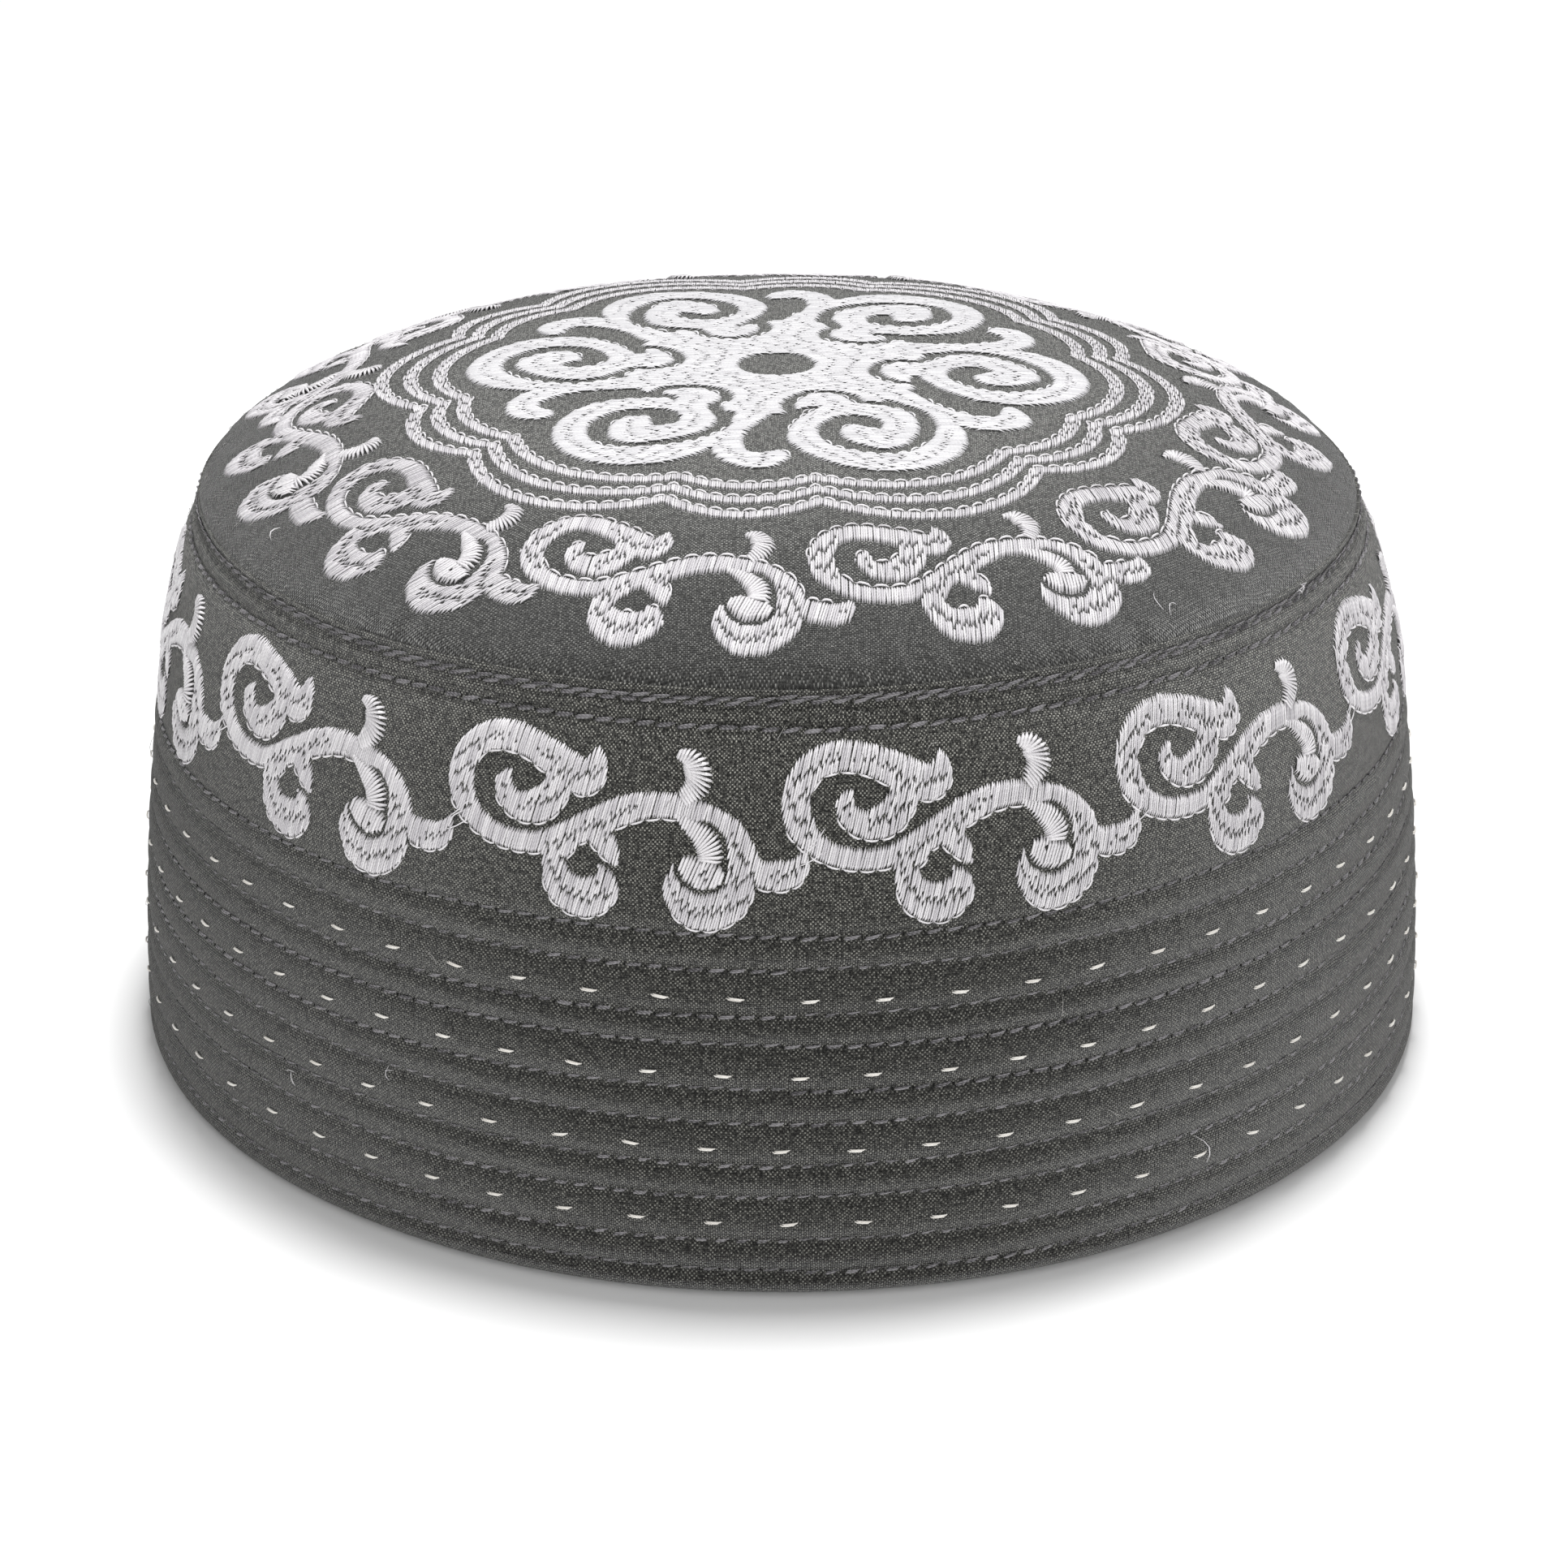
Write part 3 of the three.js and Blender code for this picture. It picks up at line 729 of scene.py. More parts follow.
def ramp(tree, value, low, high):
    """Smooth step from 0 at low to 1 at high."""
    made = tree.nodes.new("ShaderNodeMapRange")
    made.interpolation_type = "SMOOTHSTEP"
    wire(tree, value, made.inputs["Value"])
    made.inputs["From Min"].default_value = low
    made.inputs["From Max"].default_value = high
    return made.outputs["Result"]


def mixed(tree, share, first, second):
    """A mix of two colours."""
    made = tree.nodes.new("ShaderNodeMix")
    made.data_type = "RGBA"
    wire(tree, share, made.inputs["Factor"])
    wire(tree, first, made.inputs[6])
    wire(tree, second, made.inputs[7])
    return made.outputs[2]


def new_material(name, roughness, sheen):
    """A material with its shader, and the layout of the piece."""
    made = bpy.data.materials.new(name)
    made.use_nodes = True
    tree = made.node_tree
    shader = tree.nodes["Principled BSDF"]
    shader.inputs["Roughness"].default_value = roughness
    shader.inputs["Sheen Weight"].default_value = sheen
    shader.inputs["Sheen Roughness"].default_value = 0.3
    shader.inputs["Specular IOR Level"].default_value = 0.3
    layout = tree.nodes.new("ShaderNodeUVMap")
    layout.uv_map = "layout"
    return made, tree, shader, layout.outputs["UV"]


def place_on_cap(tree, upward):
    """Height above the floor, or distance from the cap's axis, in mm."""
    middle = tree.nodes.new("ShaderNodeTexCoord")
    parts = tree.nodes.new("ShaderNodeSeparateXYZ")
    tree.links.new(middle.outputs["Object"], parts.inputs[0])
    if upward:
        return calc(tree, "MULTIPLY", parts.outputs[2], 1000.0)
    across = calc(tree, "MULTIPLY", parts.outputs[0], parts.outputs[0])
    depth = calc(tree, "MULTIPLY", parts.outputs[1], parts.outputs[1])
    return calc(tree, "MULTIPLY", calc(tree, "SQRT", calc(tree, "ADD", across, depth)), 1000.0)


def cloth_material(name, dark, light, falloff):
    """Plain-weave cotton: knuckles in a chequer, uneven yarn, specks, painted shade towards the crown's
    shoulder and darker towards the bottom of the band.
    """
    look = cap_look()
    made, tree, shader, layout = new_material(name, 0.95, 0.4)
    wander = noise(tree, layout, 0.16, 1)
    wander_across = noise(tree, scaled(tree, layout, (1.3, 1.3, 1)), 0.13, 1)
    parts = tree.nodes.new("ShaderNodeSeparateXYZ")
    tree.links.new(layout, parts.inputs[0])
    u = calc(tree, "ADD", parts.outputs[0], calc(tree, "MULTIPLY", wander, 0.9))
    v = calc(tree, "ADD", parts.outputs[1], calc(tree, "MULTIPLY", wander_across, 0.9))
    warp = calc(tree, "SINE", calc(tree, "MULTIPLY", u, math.pi / look.weave_cell))
    weft = calc(tree, "SINE", calc(tree, "MULTIPLY", v, math.pi / look.weave_cell))
    woven = calc(tree, "MULTIPLY", warp, weft)
    knuckle = ramp(tree, woven, 0.0, 0.75)
    slub_along = noise(tree, scaled(tree, layout, (0.5, 4.0, 1)), 1.0, 1)
    slub_up = noise(tree, scaled(tree, layout, (4.0, 0.5, 1)), 1.0, 1)
    tuft = noise(tree, layout, 1.4, 2)
    slubs = calc(tree, "ADD", slub_along, slub_up)
    uneven = calc(tree, "ADD", slubs, calc(tree, "MULTIPLY", tuft, 1.6))
    strength = ramp(tree, uneven, 1.58, 2.02)
    bright = calc(tree, "MULTIPLY", knuckle, strength)
    grain = noise(tree, layout, 3.1, 3)
    middle = tuple(0.5 * a + 0.5 * b for a, b in zip(dark, light))
    base = mixed(tree, calc(tree, "MULTIPLY", ramp(tree, grain, 0.42, 0.66), 0.42), dark, middle)
    base = mixed(tree, bright, base, light)
    flecks = ramp(tree, noise(tree, layout, 1.5, 3), 0.62, 0.72)
    pale = calc(tree, "MULTIPLY", flecks, ramp(tree, woven, -0.6, 0.3))
    base = mixed(tree, calc(tree, "MULTIPLY", pale, 0.7), base, look.speck)
    # Darkened towards one end: painted shade on the crown towards its shoulder, darker towards the bottom
    # on the band.
    upward, pale_end, dark_end, depth = falloff
    darkening_share = ramp(tree, place_on_cap(tree, upward), pale_end, dark_end)
    base = mixed(tree, calc(tree, "MULTIPLY", darkening_share, depth), base, look.darkening_tone)
    tree.links.new(base, shader.inputs["Base Color"])
    height = calc(tree, "ADD", calc(tree, "ABSOLUTE", woven), calc(tree, "MULTIPLY", grain, 0.9))
    bump = tree.nodes.new("ShaderNodeBump")
    bump.inputs["Strength"].default_value = look.weave_depth
    bump.inputs["Distance"].default_value = 0.00018
    tree.links.new(height, bump.inputs["Height"])
    tree.links.new(bump.outputs[0], shader.inputs["Normal"])
    return made


def thread_material(name, dark, light, roughness, ply_shade=0.1):
    """Embroidery thread: two twisted plies with painted shade along the twist, a soft sheen and a tone of
    its own for each stitch.
    """
    made, tree, shader, layout = new_material(name, roughness, 0.35)
    tone = tree.nodes.new("ShaderNodeAttribute")
    tone.attribute_name = "tone"
    parts = tree.nodes.new("ShaderNodeSeparateXYZ")
    tree.links.new(layout, parts.inputs[0])
    turns = calc(tree, "MULTIPLY", parts.outputs[1], 4.0)
    turns = calc(tree, "ADD", turns, calc(tree, "MULTIPLY", parts.outputs[0], 11.0))
    ply = calc(tree, "SINE", turns)
    # Painted shade along the twist: the colour goes darker and paler with the plies.
    even = calc(tree, "MULTIPLY", tone.outputs["Fac"], 0.8)
    shade = calc(tree, "ADD", even, calc(tree, "MULTIPLY", ply, ply_shade))
    colour = mixed(tree, ramp(tree, shade, -0.1, 0.9), dark, light)
    tree.links.new(colour, shader.inputs["Base Color"])
    bump = tree.nodes.new("ShaderNodeBump")
    bump.inputs["Strength"].default_value = 0.35
    bump.inputs["Distance"].default_value = 0.00004
    tree.links.new(ply, bump.inputs["Height"])
    tree.links.new(bump.outputs[0], shader.inputs["Normal"])
    return made


def kept_material(name, maker, *values):
    """A material that several pieces share."""
    return bpy.data.materials.get(name) or maker(name, *values)


def silver_thread():
    """The silver-lilac thread of the scrolls and the scalloped lines."""
    look = cap_look()
    return kept_material("silver_embroidery", thread_material, look.silver_dark, look.silver_light, 0.45)


def white_thread():
    """The white thread of the rosette."""
    look = cap_look()
    return kept_material("white_embroidery", thread_material, look.white_dark, look.white_light, 0.7)


# Sizes and colours


def colour_property(name, description, default):
    """A linear colour."""
    return FloatVectorProperty(
        name=name,
        description=description,
        default=default,
        size=4,
        subtype="COLOR",
        min=0,
        max=1,
    )


def size_property(name, description, default, low, high):
    """A size in millimetres of the real cap, or a plain strength."""
    return FloatProperty(name=name, description=description, default=default, min=low, max=high)


class CapLook(PropertyGroup):
    """Sizes in millimetres of the real cap, and linear colours."""

    thread_pitch: size_property("Thread pitch", "Distance between two fill stitches", 0.31, 0.2, 1)
    thread_width: size_property("Thread width", "Width of an embroidery thread", 0.4, 0.2, 1)
    stitch_length: size_property("Stitch length", "Length of a fill stitch", 3.2, 1, 8)
    stagger: size_property("Stagger", "Shift of the joints from one fill row to the next", 0.42, 0, 2)
    satin_pitch: size_property("Satin pitch", "Distance between two satin stitches", 0.42, 0.2, 1)
    quilt_stitch: size_property("Quilting stitch", "Pitch of the dark quilting stitches", 2.6, 1, 6)
    puff: size_property("Puff", "Swell of the cloth between two quilting rows", 0.32, 0, 2)
    groove: size_property("Groove", "Depth of the cloth under a quilting row", 0.4, 0, 2)
    weave_cell: size_property("Weave cell", "Width of one yarn of the cloth", 0.27, 0.1, 1)
    weave_depth: size_property("Weave depth", "Strength of the weave's relief", 0.9, 0, 1)
    fibres: IntProperty(name="Fibres", description="Number of fibres", default=150, min=0, max=1000)
    lint: IntProperty(name="Lint", description="Number of specks", default=1500, min=0, max=5000)
    band_dark: colour_property("Band yarn", "Dark yarn of the band", (0.013, 0.0127, 0.0117, 1))
    band_light: colour_property("Band knuckles", "Light yarn of the band", (0.44, 0.436, 0.392, 1))
    # The crown is the same cloth as the band with its yarn painted paler: painted light for the brighter
    # top light and grazing sheen on the crown.
    crown_yarn_painted_paler: colour_property("Crown yarn", "Dark yarn of the crown", (0.052, 0.0515, 0.049, 1))
    crown_knuckles_painted_paler: colour_property("Crown knuckles", "Light yarn of the crown", (0.66, 0.66, 0.627, 1))
    speck: colour_property("Specks", "Pale fibres in the cloth", (0.42, 0.42, 0.38, 1))
    # The dark tone the cloth is mixed towards: painted shade on the crown, darker towards the bottom on
    # the band.
    darkening_tone: colour_property("Darkened cloth", "Dark tone the cloth is mixed towards", (0.008, 0.008, 0.0075, 1))
    silver_dark: colour_property("Silver thread, dark", "Darkest silver", (0.58, 0.56, 0.585, 1))
    silver_light: colour_property("Silver thread, light", "Lightest silver", (0.84, 0.82, 0.835, 1))
    white_dark: colour_property("White thread, dark", "Darkest white", (0.68, 0.67, 0.69, 1))
    white_light: colour_property("White thread, light", "Lightest white", (0.86, 0.85, 0.865, 1))
    quilt_dark: colour_property("Quilting thread, dark", "Darkest quilting", (0.055, 0.052, 0.056, 1))
    quilt_light: colour_property("Quilting thread, light", "Lightest quilting", (0.27, 0.26, 0.272, 1))
    dash_dark: colour_property("Running thread, dark", "Darkest running thread", (0.72, 0.69, 0.64, 1))
    dash_light: colour_property("Running thread, light", "Lightest running thread", (0.86, 0.84, 0.79, 1))
    fluff_dark: colour_property("Lint, dark", "Darkest lint", (0.1, 0.09, 0.09, 1))
    fluff_light: colour_property("Lint, light", "Lightest lint", (0.5, 0.49, 0.47, 1))
    hole: colour_property("Needle holes", "Shade in a needle hole", (0.006, 0.006, 0.006, 1))
    floor: colour_property("Floor", "Pale floor", (0.97, 0.97, 0.97, 1))


def cap_look():
    """The sizes and colours that are set in the scene."""
    return bpy.context.scene.cap_look


def settled(piece, slot_name, *nodes):
    """Rides a finished piece on the frame, in place of its plain solids if it has any."""
    if nodes:
        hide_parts(*nodes)
    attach(piece, "root")


# Pieces


class CAP_OT_band_cloth(Operator):
    """Quilted side band, open underneath"""

    bl_idname = "cap.band_cloth"
    bl_label = "Side band"

    def execute(self, context):
        look = cap_look()
        hem = [0, 0.12, 0.35, 0.7, 1.2, 1.8]
        outside = [(1.0, z) for z in [*hem, *np.arange(HEM_RADIUS, BAND_HEIGHT, 0.75), BAND_HEIGHT]]
        downwards = np.linspace(BAND_HEIGHT, HEM_FOLD_HEIGHT, 10)
        inside = [(0.0, z) for z in [*downwards, 6.5, 5, 3.6, HEM_RADIUS, *hem[::-1]]]
        profile = [(MEASURED_RIM_RADIUS + (side - 1) * WALL, z) for side, z in outside + inside]
        material = cloth_material("band_cloth", look.band_dark, look.band_light, BAND_DARKENING)
        made = spun_mesh("band_cloth", profile, BAND_SEGMENTS, material)
        points = mesh_points(made.data)
        turn = np.arctan2(points[:, 0], -points[:, 1])
        height = points[:, 2]
        outer = np.hypot(points[:, 0], points[:, 1]) > MEASURED_RIM_RADIUS - 1
        along = turn * FRIEZE_RADIUS
        fold = np.clip((HEM_FOLD_HEIGHT - height) / (HEM_FOLD_HEIGHT - HEM_RADIUS), 0, 1)
        thick = WALL + (2 * HEM_RADIUS - WALL) * fold**2 * (3 - 2 * fold)
        lift = np.where(outer, 0, hem_inset(height) - thick - quilt_relief(turn, height))
        set_mesh_points(made.data, on_band(along, height, lift))
        cloth_layout(made.data, np.stack([along, height], -1), 2 * math.pi * FRIEZE_RADIUS)
        settled(made, "band_cloth", "side_band")
        return {"FINISHED"}


class CAP_OT_crown_cloth(Operator):
    """Soft domed crown with a rounded shoulder"""

    bl_idname = "cap.crown_cloth"
    bl_label = "Crown"

    def execute(self, context):
        look = cap_look()
        near_seam = np.linspace(67.2, SEAM_RADIUS, 18)
        radii = np.concatenate([np.linspace(0, 66, 40), near_seam, [79.95, CROWN_EDGE_RADIUS]])
        outside = [(r, 90.0) for r in radii]
        inside = [(r, 70.0) for r in np.linspace(SEAM_RADIUS - 1.2, 0, 16)]
        material = cloth_material("crown_cloth", look.crown_yarn_painted_paler, look.crown_knuckles_painted_paler, CROWN_PAINTED_SHADE)
        made = spun_mesh("crown_cloth", outside + inside, CROWN_SEGMENTS, material)
        points = mesh_points(made.data)
        x = points[:, 0]
        y = points[:, 1]
        outer = points[:, 2] > 80
        lift = np.where(outer, 0, -CROWN_THICKNESS)
        placed = on_crown(x, y, 0 * x)
        placed[:, 2] += lift
        set_mesh_points(made.data, placed)
        cloth_layout(made.data, np.stack([x, y], -1), 0)
        settled(made, "crown_cloth", "crown_panel")
        return {"FINISHED"}


class CAP_OT_rosette(Operator):
    """Six spirals with hooked arms, filled with white stitches"""

    bl_idname = "cap.rosette"
    bl_label = "Rosette"

    def execute(self, context):
        rng = np.random.default_rng(11)
        size = np.array([ROSETTE_RADIUS, -ROSETTE_RADIUS, ROSETTE_RADIUS])
        threads = [np.array([ROSETTE_BODY]) * size]
        gaps = [np.array([(0, 0, 2 * ROSETTE_HOLE_RADIUS)])]
        runs = []
        for k in range(ROSETTE_ARMS):
            degrees = 360 * k / ROSETTE_ARMS
            threads.append(turned(np.array([ROSETTE_LOBE]) * size, degrees))
            threads.append(turned(smooth_stroke(ROSETTE_ARM) * size, degrees))
            gaps += [turned(smooth_stroke(gap) * size, degrees) for gap in ROSETTE_GAPS]
        reach = ROSETTE_RADIUS + 1
        grid = cut(drawn_grid(threads, (-reach, -reach), (reach, reach)), gaps)
        ends = fill_stitches(grid, FILL_LEAN_ROSETTE, rng, 0.35)
        for gap in gaps[1:]:
            for side in (1, -1):
                runs += edge_runs(grid, gap, side, (0, -1), RUN_BOW_ROSETTE, rng)
        groups = [fill_group(ends, rng, tip=0.65), run_group(runs, rng)]
        made = strand_mesh("rosette_stitches", groups, on_crown, white_thread())
        settled(made, "white_thread", "rosette")
        return {"FINISHED"}


def fill_group(ends, rng, low_lift=-0.08, high_lift=0.14, tip=0.3):
    """Straight stitches as one group of strands."""
    wide = cap_look().thread_width
    return {
        "paths": straight_paths(ends, low_lift, high_lift, rng),
        "wide": np.array([tip, 1, 1, tip]) * wide,
        "tall": np.array([0.12, 0.24, 0.24, 0.12]),
        "fat": rng.uniform(0.9, 1.12, len(ends)),
        "rng": rng,
    }


def satin_group(stitches, rng):
    """Plump satin stitches as one group of strands."""
    made = fill_group(np.vstack(stitches), rng, -0.04, 0.36, 0.55)
    made["wide"] = made["wide"] * 1.3
    made["tone"] = (0.45, 1)
    return made


def run_group(paths, rng, wide=0.34):
    """Bowed run stitches as one group of strands."""
    return {
        "paths": paths,
        # Only the paler tones: painted highlight on the raised, bowed run stitches and loose threads.
        "tone": (0.7, 1),
        "wide": np.array([0.5, 1, 1, 1, 0.5]) * wide,
        "tall": np.array([0.1, 0.24, 0.26, 0.24, 0.1]),
        "rng": rng,
    }


def bowed_thread(first, last, bow, lift):
    """A loose thread from one place to another: five stations with its lift."""
    at = np.array([0, 0.25, 0.5, 0.75, 1])[:, None]
    way = np.array(last, float) - first
    side = np.array([-way[1], way[0]]) / max(np.hypot(*way), 1e-6)
    flat = first + way * at + side * bow * np.sin(math.pi * at)
    rise = 0.02 + lift * np.sin(math.pi * at)
    return np.hstack([flat, rise])


def scallop_centre(line, degrees):
    """Radius of the middle of a scalloped line in a direction."""
    radius = np.full(len(degrees), SCALLOP_RADIUS + SCALLOP_PITCH * line)
    for middle, half, bulge, gain in SCALLOP_LOBES:
        away = (degrees - middle + 30) % 60 - 30
        share = np.clip(1 - (away / half) ** 2, 0, 1)
        radius += (bulge + gain * line) * share
    return radius


class CAP_OT_scallops(Operator):
    """Three scalloped lines of stitches round the rosette"""

    bl_idname = "cap.scallops"
    bl_label = "Scalloped lines"

    def execute(self, context):
        names = ["scallop_line_inner", "scallop_line_middle", "scallop_line_outer"]
        for line in range(SCALLOP_LINES):
            rng = np.random.default_rng(21 + line)
            degrees = np.arange(0, 360, 0.4)
            radius = scallop_centre(line, degrees)
            turn = np.radians(degrees)
            wide = np.full(len(turn), SCALLOP_WIDTH)
            path = np.stack([radius * np.sin(turn), -radius * np.cos(turn), wide], -1)
            reach = radius.max() + SCALLOP_WIDTH
            grid = drawn_grid([path], (-reach, -reach), (reach, reach))
            ends = fill_stitches(grid, FILL_LEAN_SCALLOP, rng)
            runs = self.inner_arcs(line, rng)
            groups = [fill_group(ends, rng), run_group(runs, rng)]
            made = strand_mesh(names[line] + "_stitches", groups, on_crown, silver_thread())
            settled(made, "silver_thread", names[line])
        return {"FINISHED"}

    def inner_arcs(self, line, rng):
        """Bowed run stitches along the inner edge of a line."""
        fine = np.arange(0, 360, 0.1)
        radius = scallop_centre(line, fine) - SCALLOP_WIDTH / 2
        turn = np.radians(fine)
        x = radius * np.sin(turn)
        y = -radius * np.cos(turn)
        run = run_along(x, y)
        count = int(run[-1] / RUN_STITCH)
        made = []
        for k in range(count):
            at = (k + np.array([0.02, 0.22, 0.5, 0.78, 0.98])) * run[-1] / count
            bow = np.array([-0.1, 0.14, 0.24, 0.14, -0.1]) * rng.uniform(0.8, 1.2)
            px = np.interp(at, run, x)
            py = np.interp(at, run, y)
            shrink = 1 - bow / np.hypot(px, py)
            made.append(np.stack([px * shrink, py * shrink, [-0.1, 0.1, 0.16, 0.1, -0.1]], -1))
        return made


def crown_strokes():
    """The strokes of a scroll on the crown, where the crescent hangs lower."""
    strokes = dict(SCROLL_FILLED)
    drops = np.linspace(0.3, 1.6, len(strokes["crescent"])) * CROWN_CRESCENT_DROP
    crescent = zip(strokes["crescent"], drops)
    strokes["crescent"] = [(x, up - drop, wide) for (x, up, wide), drop in crescent]
    return strokes.values()


class CAP_OT_crown_scrolls(Operator):
    """Ring of scrolls round the crown"""

    bl_idname = "cap.crown_scrolls"
    bl_label = "Crown scrolls"

    def execute(self, context):
        rng = np.random.default_rng(31)
        pitch = cap_look().satin_pitch
        fills = []
        satins = []
        runs = []
        for k in range(CROWN_SCROLLS):
            start = CROWN_SCROLL_START + 360 * k / CROWN_SCROLLS + CROWN_SCROLL_DRIFT[k]
            strokes = [bent_to_crown(scroll_stroke(s), start) for s in crown_strokes()]
            every = np.vstack(strokes)
            low = every[:, :2].min(0) - GRID_MARGIN
            high = every[:, :2].max(0) + GRID_MARGIN
            tongue = bent_to_crown(scroll_stroke(SCROLL_TONGUE), start)
            head = bent_to_crown(scroll_stroke(SCROLL_TONGUE_HEAD), start)
            grid = cut(drawn_grid(strokes, low, high), [tongue_gap(tongue, head)])
            fills.append(fill_stitches(grid, CROWN_FILL_LEAN[k], rng))
            bud = bent_to_crown(scroll_stroke(SCROLL_BUD), start + 1.5)
            satins.append(satin_stitches(bud, pitch, BUD_TILT_CROWN, rng))
            satins.append(satin_stitches(tongue, pitch, TONGUE_TILT, rng))
            disc = disc_grid(head)
            satins.append(fill_stitches(disc, FILL_LEAN_TONGUE + start + 27, rng, 0, pitch))
            middle = math.radians(start + CROWN_SCROLL_SPAN / 2)
            facing = (-math.sin(middle), math.cos(middle))
            for stroke in strokes:
                for side in (1, -1):
                    runs += edge_runs(grid, stroke, side, facing, RUN_BOW_CROWN, rng)
        groups = [fill_group(np.vstack(fills), rng), satin_group(satins, rng), run_group(runs, rng)]
        made = strand_mesh("crown_scroll_stitches", groups, on_crown, silver_thread())
        settled(made, "silver_thread", *[f"crown_scroll_{k + 1}" for k in range(CROWN_SCROLLS)])
        return {"FINISHED"}


class CAP_OT_band_scrolls(Operator):
    """Frieze of scrolls round the band"""

    bl_idname = "cap.band_scrolls"
    bl_label = "Band scrolls"

    def execute(self, context):
        rng = np.random.default_rng(41)
        pitch = cap_look().satin_pitch
        strokes = [scroll_stroke(s) for s in SCROLL_FILLED.values()]
        bud = scroll_stroke(SCROLL_BUD)
        links = []
        tongue = scroll_stroke(SCROLL_TONGUE)
        head = scroll_stroke(SCROLL_TONGUE_HEAD)
        high = (SCROLL_LENGTH + GRID_MARGIN, SCROLL_HEIGHT + GRID_MARGIN)
        grid = drawn_grid(strokes, (-GRID_MARGIN, -GRID_MARGIN), high)
        grid = cut(grid, [tongue_gap(tongue, head)])
        disc = disc_grid(head)
        size = np.array([SCROLL_LENGTH, SCROLL_HEIGHT])
        fills = []
        satins = []
        runs = []
        for k in range(BAND_SCROLLS):
            degrees = BAND_SCROLL_START + BAND_SCROLL_DRIFT[k] + 360 * k / BAND_SCROLLS
            start = math.radians(degrees) * FRIEZE_RADIUS
            shift = np.array([start, BAND_SCROLL_FOOT])
            fills.append(fill_stitches(grid, FILL_LEAN_BAND, rng) + shift)
            satins.append(satin_stitches(bud, pitch, BUD_TILT_BAND, rng) + shift)
            satins.append(satin_stitches(tongue, pitch, TONGUE_TILT, rng) + shift)
            satins.append(fill_stitches(disc, FILL_LEAN_TONGUE, rng, 0, pitch) + shift)
            for x0, y0, x1, y1, bow in SCROLL_LINKS:
                first = shift + size * (x0, y0)
                last = shift + size * (x1, y1)
                links.append(bowed_thread(first, last, bow, 0.12))
            for stroke in strokes:
                for side in (1, -1):
                    found = edge_runs(grid, stroke, side, (0, -1), RUN_BOW_BAND, rng)
                    runs += [path + [start, BAND_SCROLL_FOOT, 0] for path in found]
        groups = [fill_group(np.vstack(fills), rng), satin_group(satins, rng), run_group(runs, rng)]
        groups.append(run_group(links, rng, 0.2))
        made = strand_mesh("band_scroll_stitches", groups, on_band, silver_thread())
        settled(made, "silver_thread", *[f"band_scroll_{k + 1}" for k in range(BAND_SCROLLS)])
        return {"FINISHED"}


class CAP_OT_quilting(Operator):
    """Dark quilting stitches in pairs of rows, and the two rows near the top"""

    bl_idname = "cap.quilting"
    bl_label = "Quilting"

    def execute(self, context):
        look = cap_look()
        rng = np.random.default_rng(51)
        turn_length = 2 * math.pi * FRIEZE_RADIUS
        rows = {"quilt": [], "top": []}
        holes = []
        for row in [*QUILT_ROWS, *TOP_ROWS]:
            paths = rows["top" if row in TOP_ROWS else "quilt"]
            scale = FRIEZE_RADIUS / float(smooth_through(BAND_PROFILE, np.array([row]))[0])
            count = int(turn_length / scale / look.quilt_stitch)
            starts = (np.arange(count) + rng.random()) * turn_length / count
            for start in starts:
                pitch = turn_length / count
                slope = rng.normal(0.14, 0.06)
                sway = 0.2 * math.sin(start / 23 + row) + rng.normal(0, 0.05)
                at = np.array([0.02, 0.24, 0.5, 0.76, 0.98])
                lift = np.array([-0.16, 0.0, 0.05, 0.0, -0.16])
                for ply in (-1, 1):
                    x = start + at * pitch + 0.1 * ply
                    apart = 0.1 * ply * np.array([0.4, 1, 1, 1, 0.4])
                    z = row + sway + (at - 0.5) * 2 * slope + apart
                    raised = TOP_ROW_RAISED if row in TOP_ROWS else 0.0
                    paths.append(np.stack([x, z, lift + raised + 0.02 * ply], -1))
                    if row == TOP_ROWS[1]:
                        paths.append(paths[-1] + (-0.5 * pitch, 0.5, 0.06))
                pit = row + sway + np.zeros(3)
                across = start + np.array([-0.24, 0, 0.24])
                holes.append(np.stack([across, pit, [-0.12, 0.02, -0.12]], -1))
        wide = np.array([0.14, 0.28, 0.31, 0.27, 0.14])
        tall = np.array([0.1, 0.18, 0.2, 0.18, 0.1])
        groups = []
        for name, fuller in (("quilt", 1.0), ("top", TOP_ROW_FULLER)):
            sizes = {"wide": fuller * wide, "tall": fuller * tall}
            groups.append({"paths": rows[name], "rng": rng, **sizes})
        material = thread_material("quilting_thread", look.quilt_dark, look.quilt_light, 0.5, 0.3)
        settled(strand_mesh("quilting_stitches", groups, on_band, material), "band_cloth")
        # Dark strands in the needle holes of the quilting: painted shade in the pits.
        hole_shade_strands = {"paths": holes, "wide": [0.15, 0.6, 0.15], "tall": [0.05, 0.1, 0.05], "rng": rng}
        shaded, _, shader, _ = new_material("needle_hole", 1.0, 0.0)
        shader.inputs["Base Color"].default_value = look.hole
        settled(strand_mesh("needle_holes", [hole_shade_strands], on_band, shaded), "band_cloth")
        return {"FINISHED"}


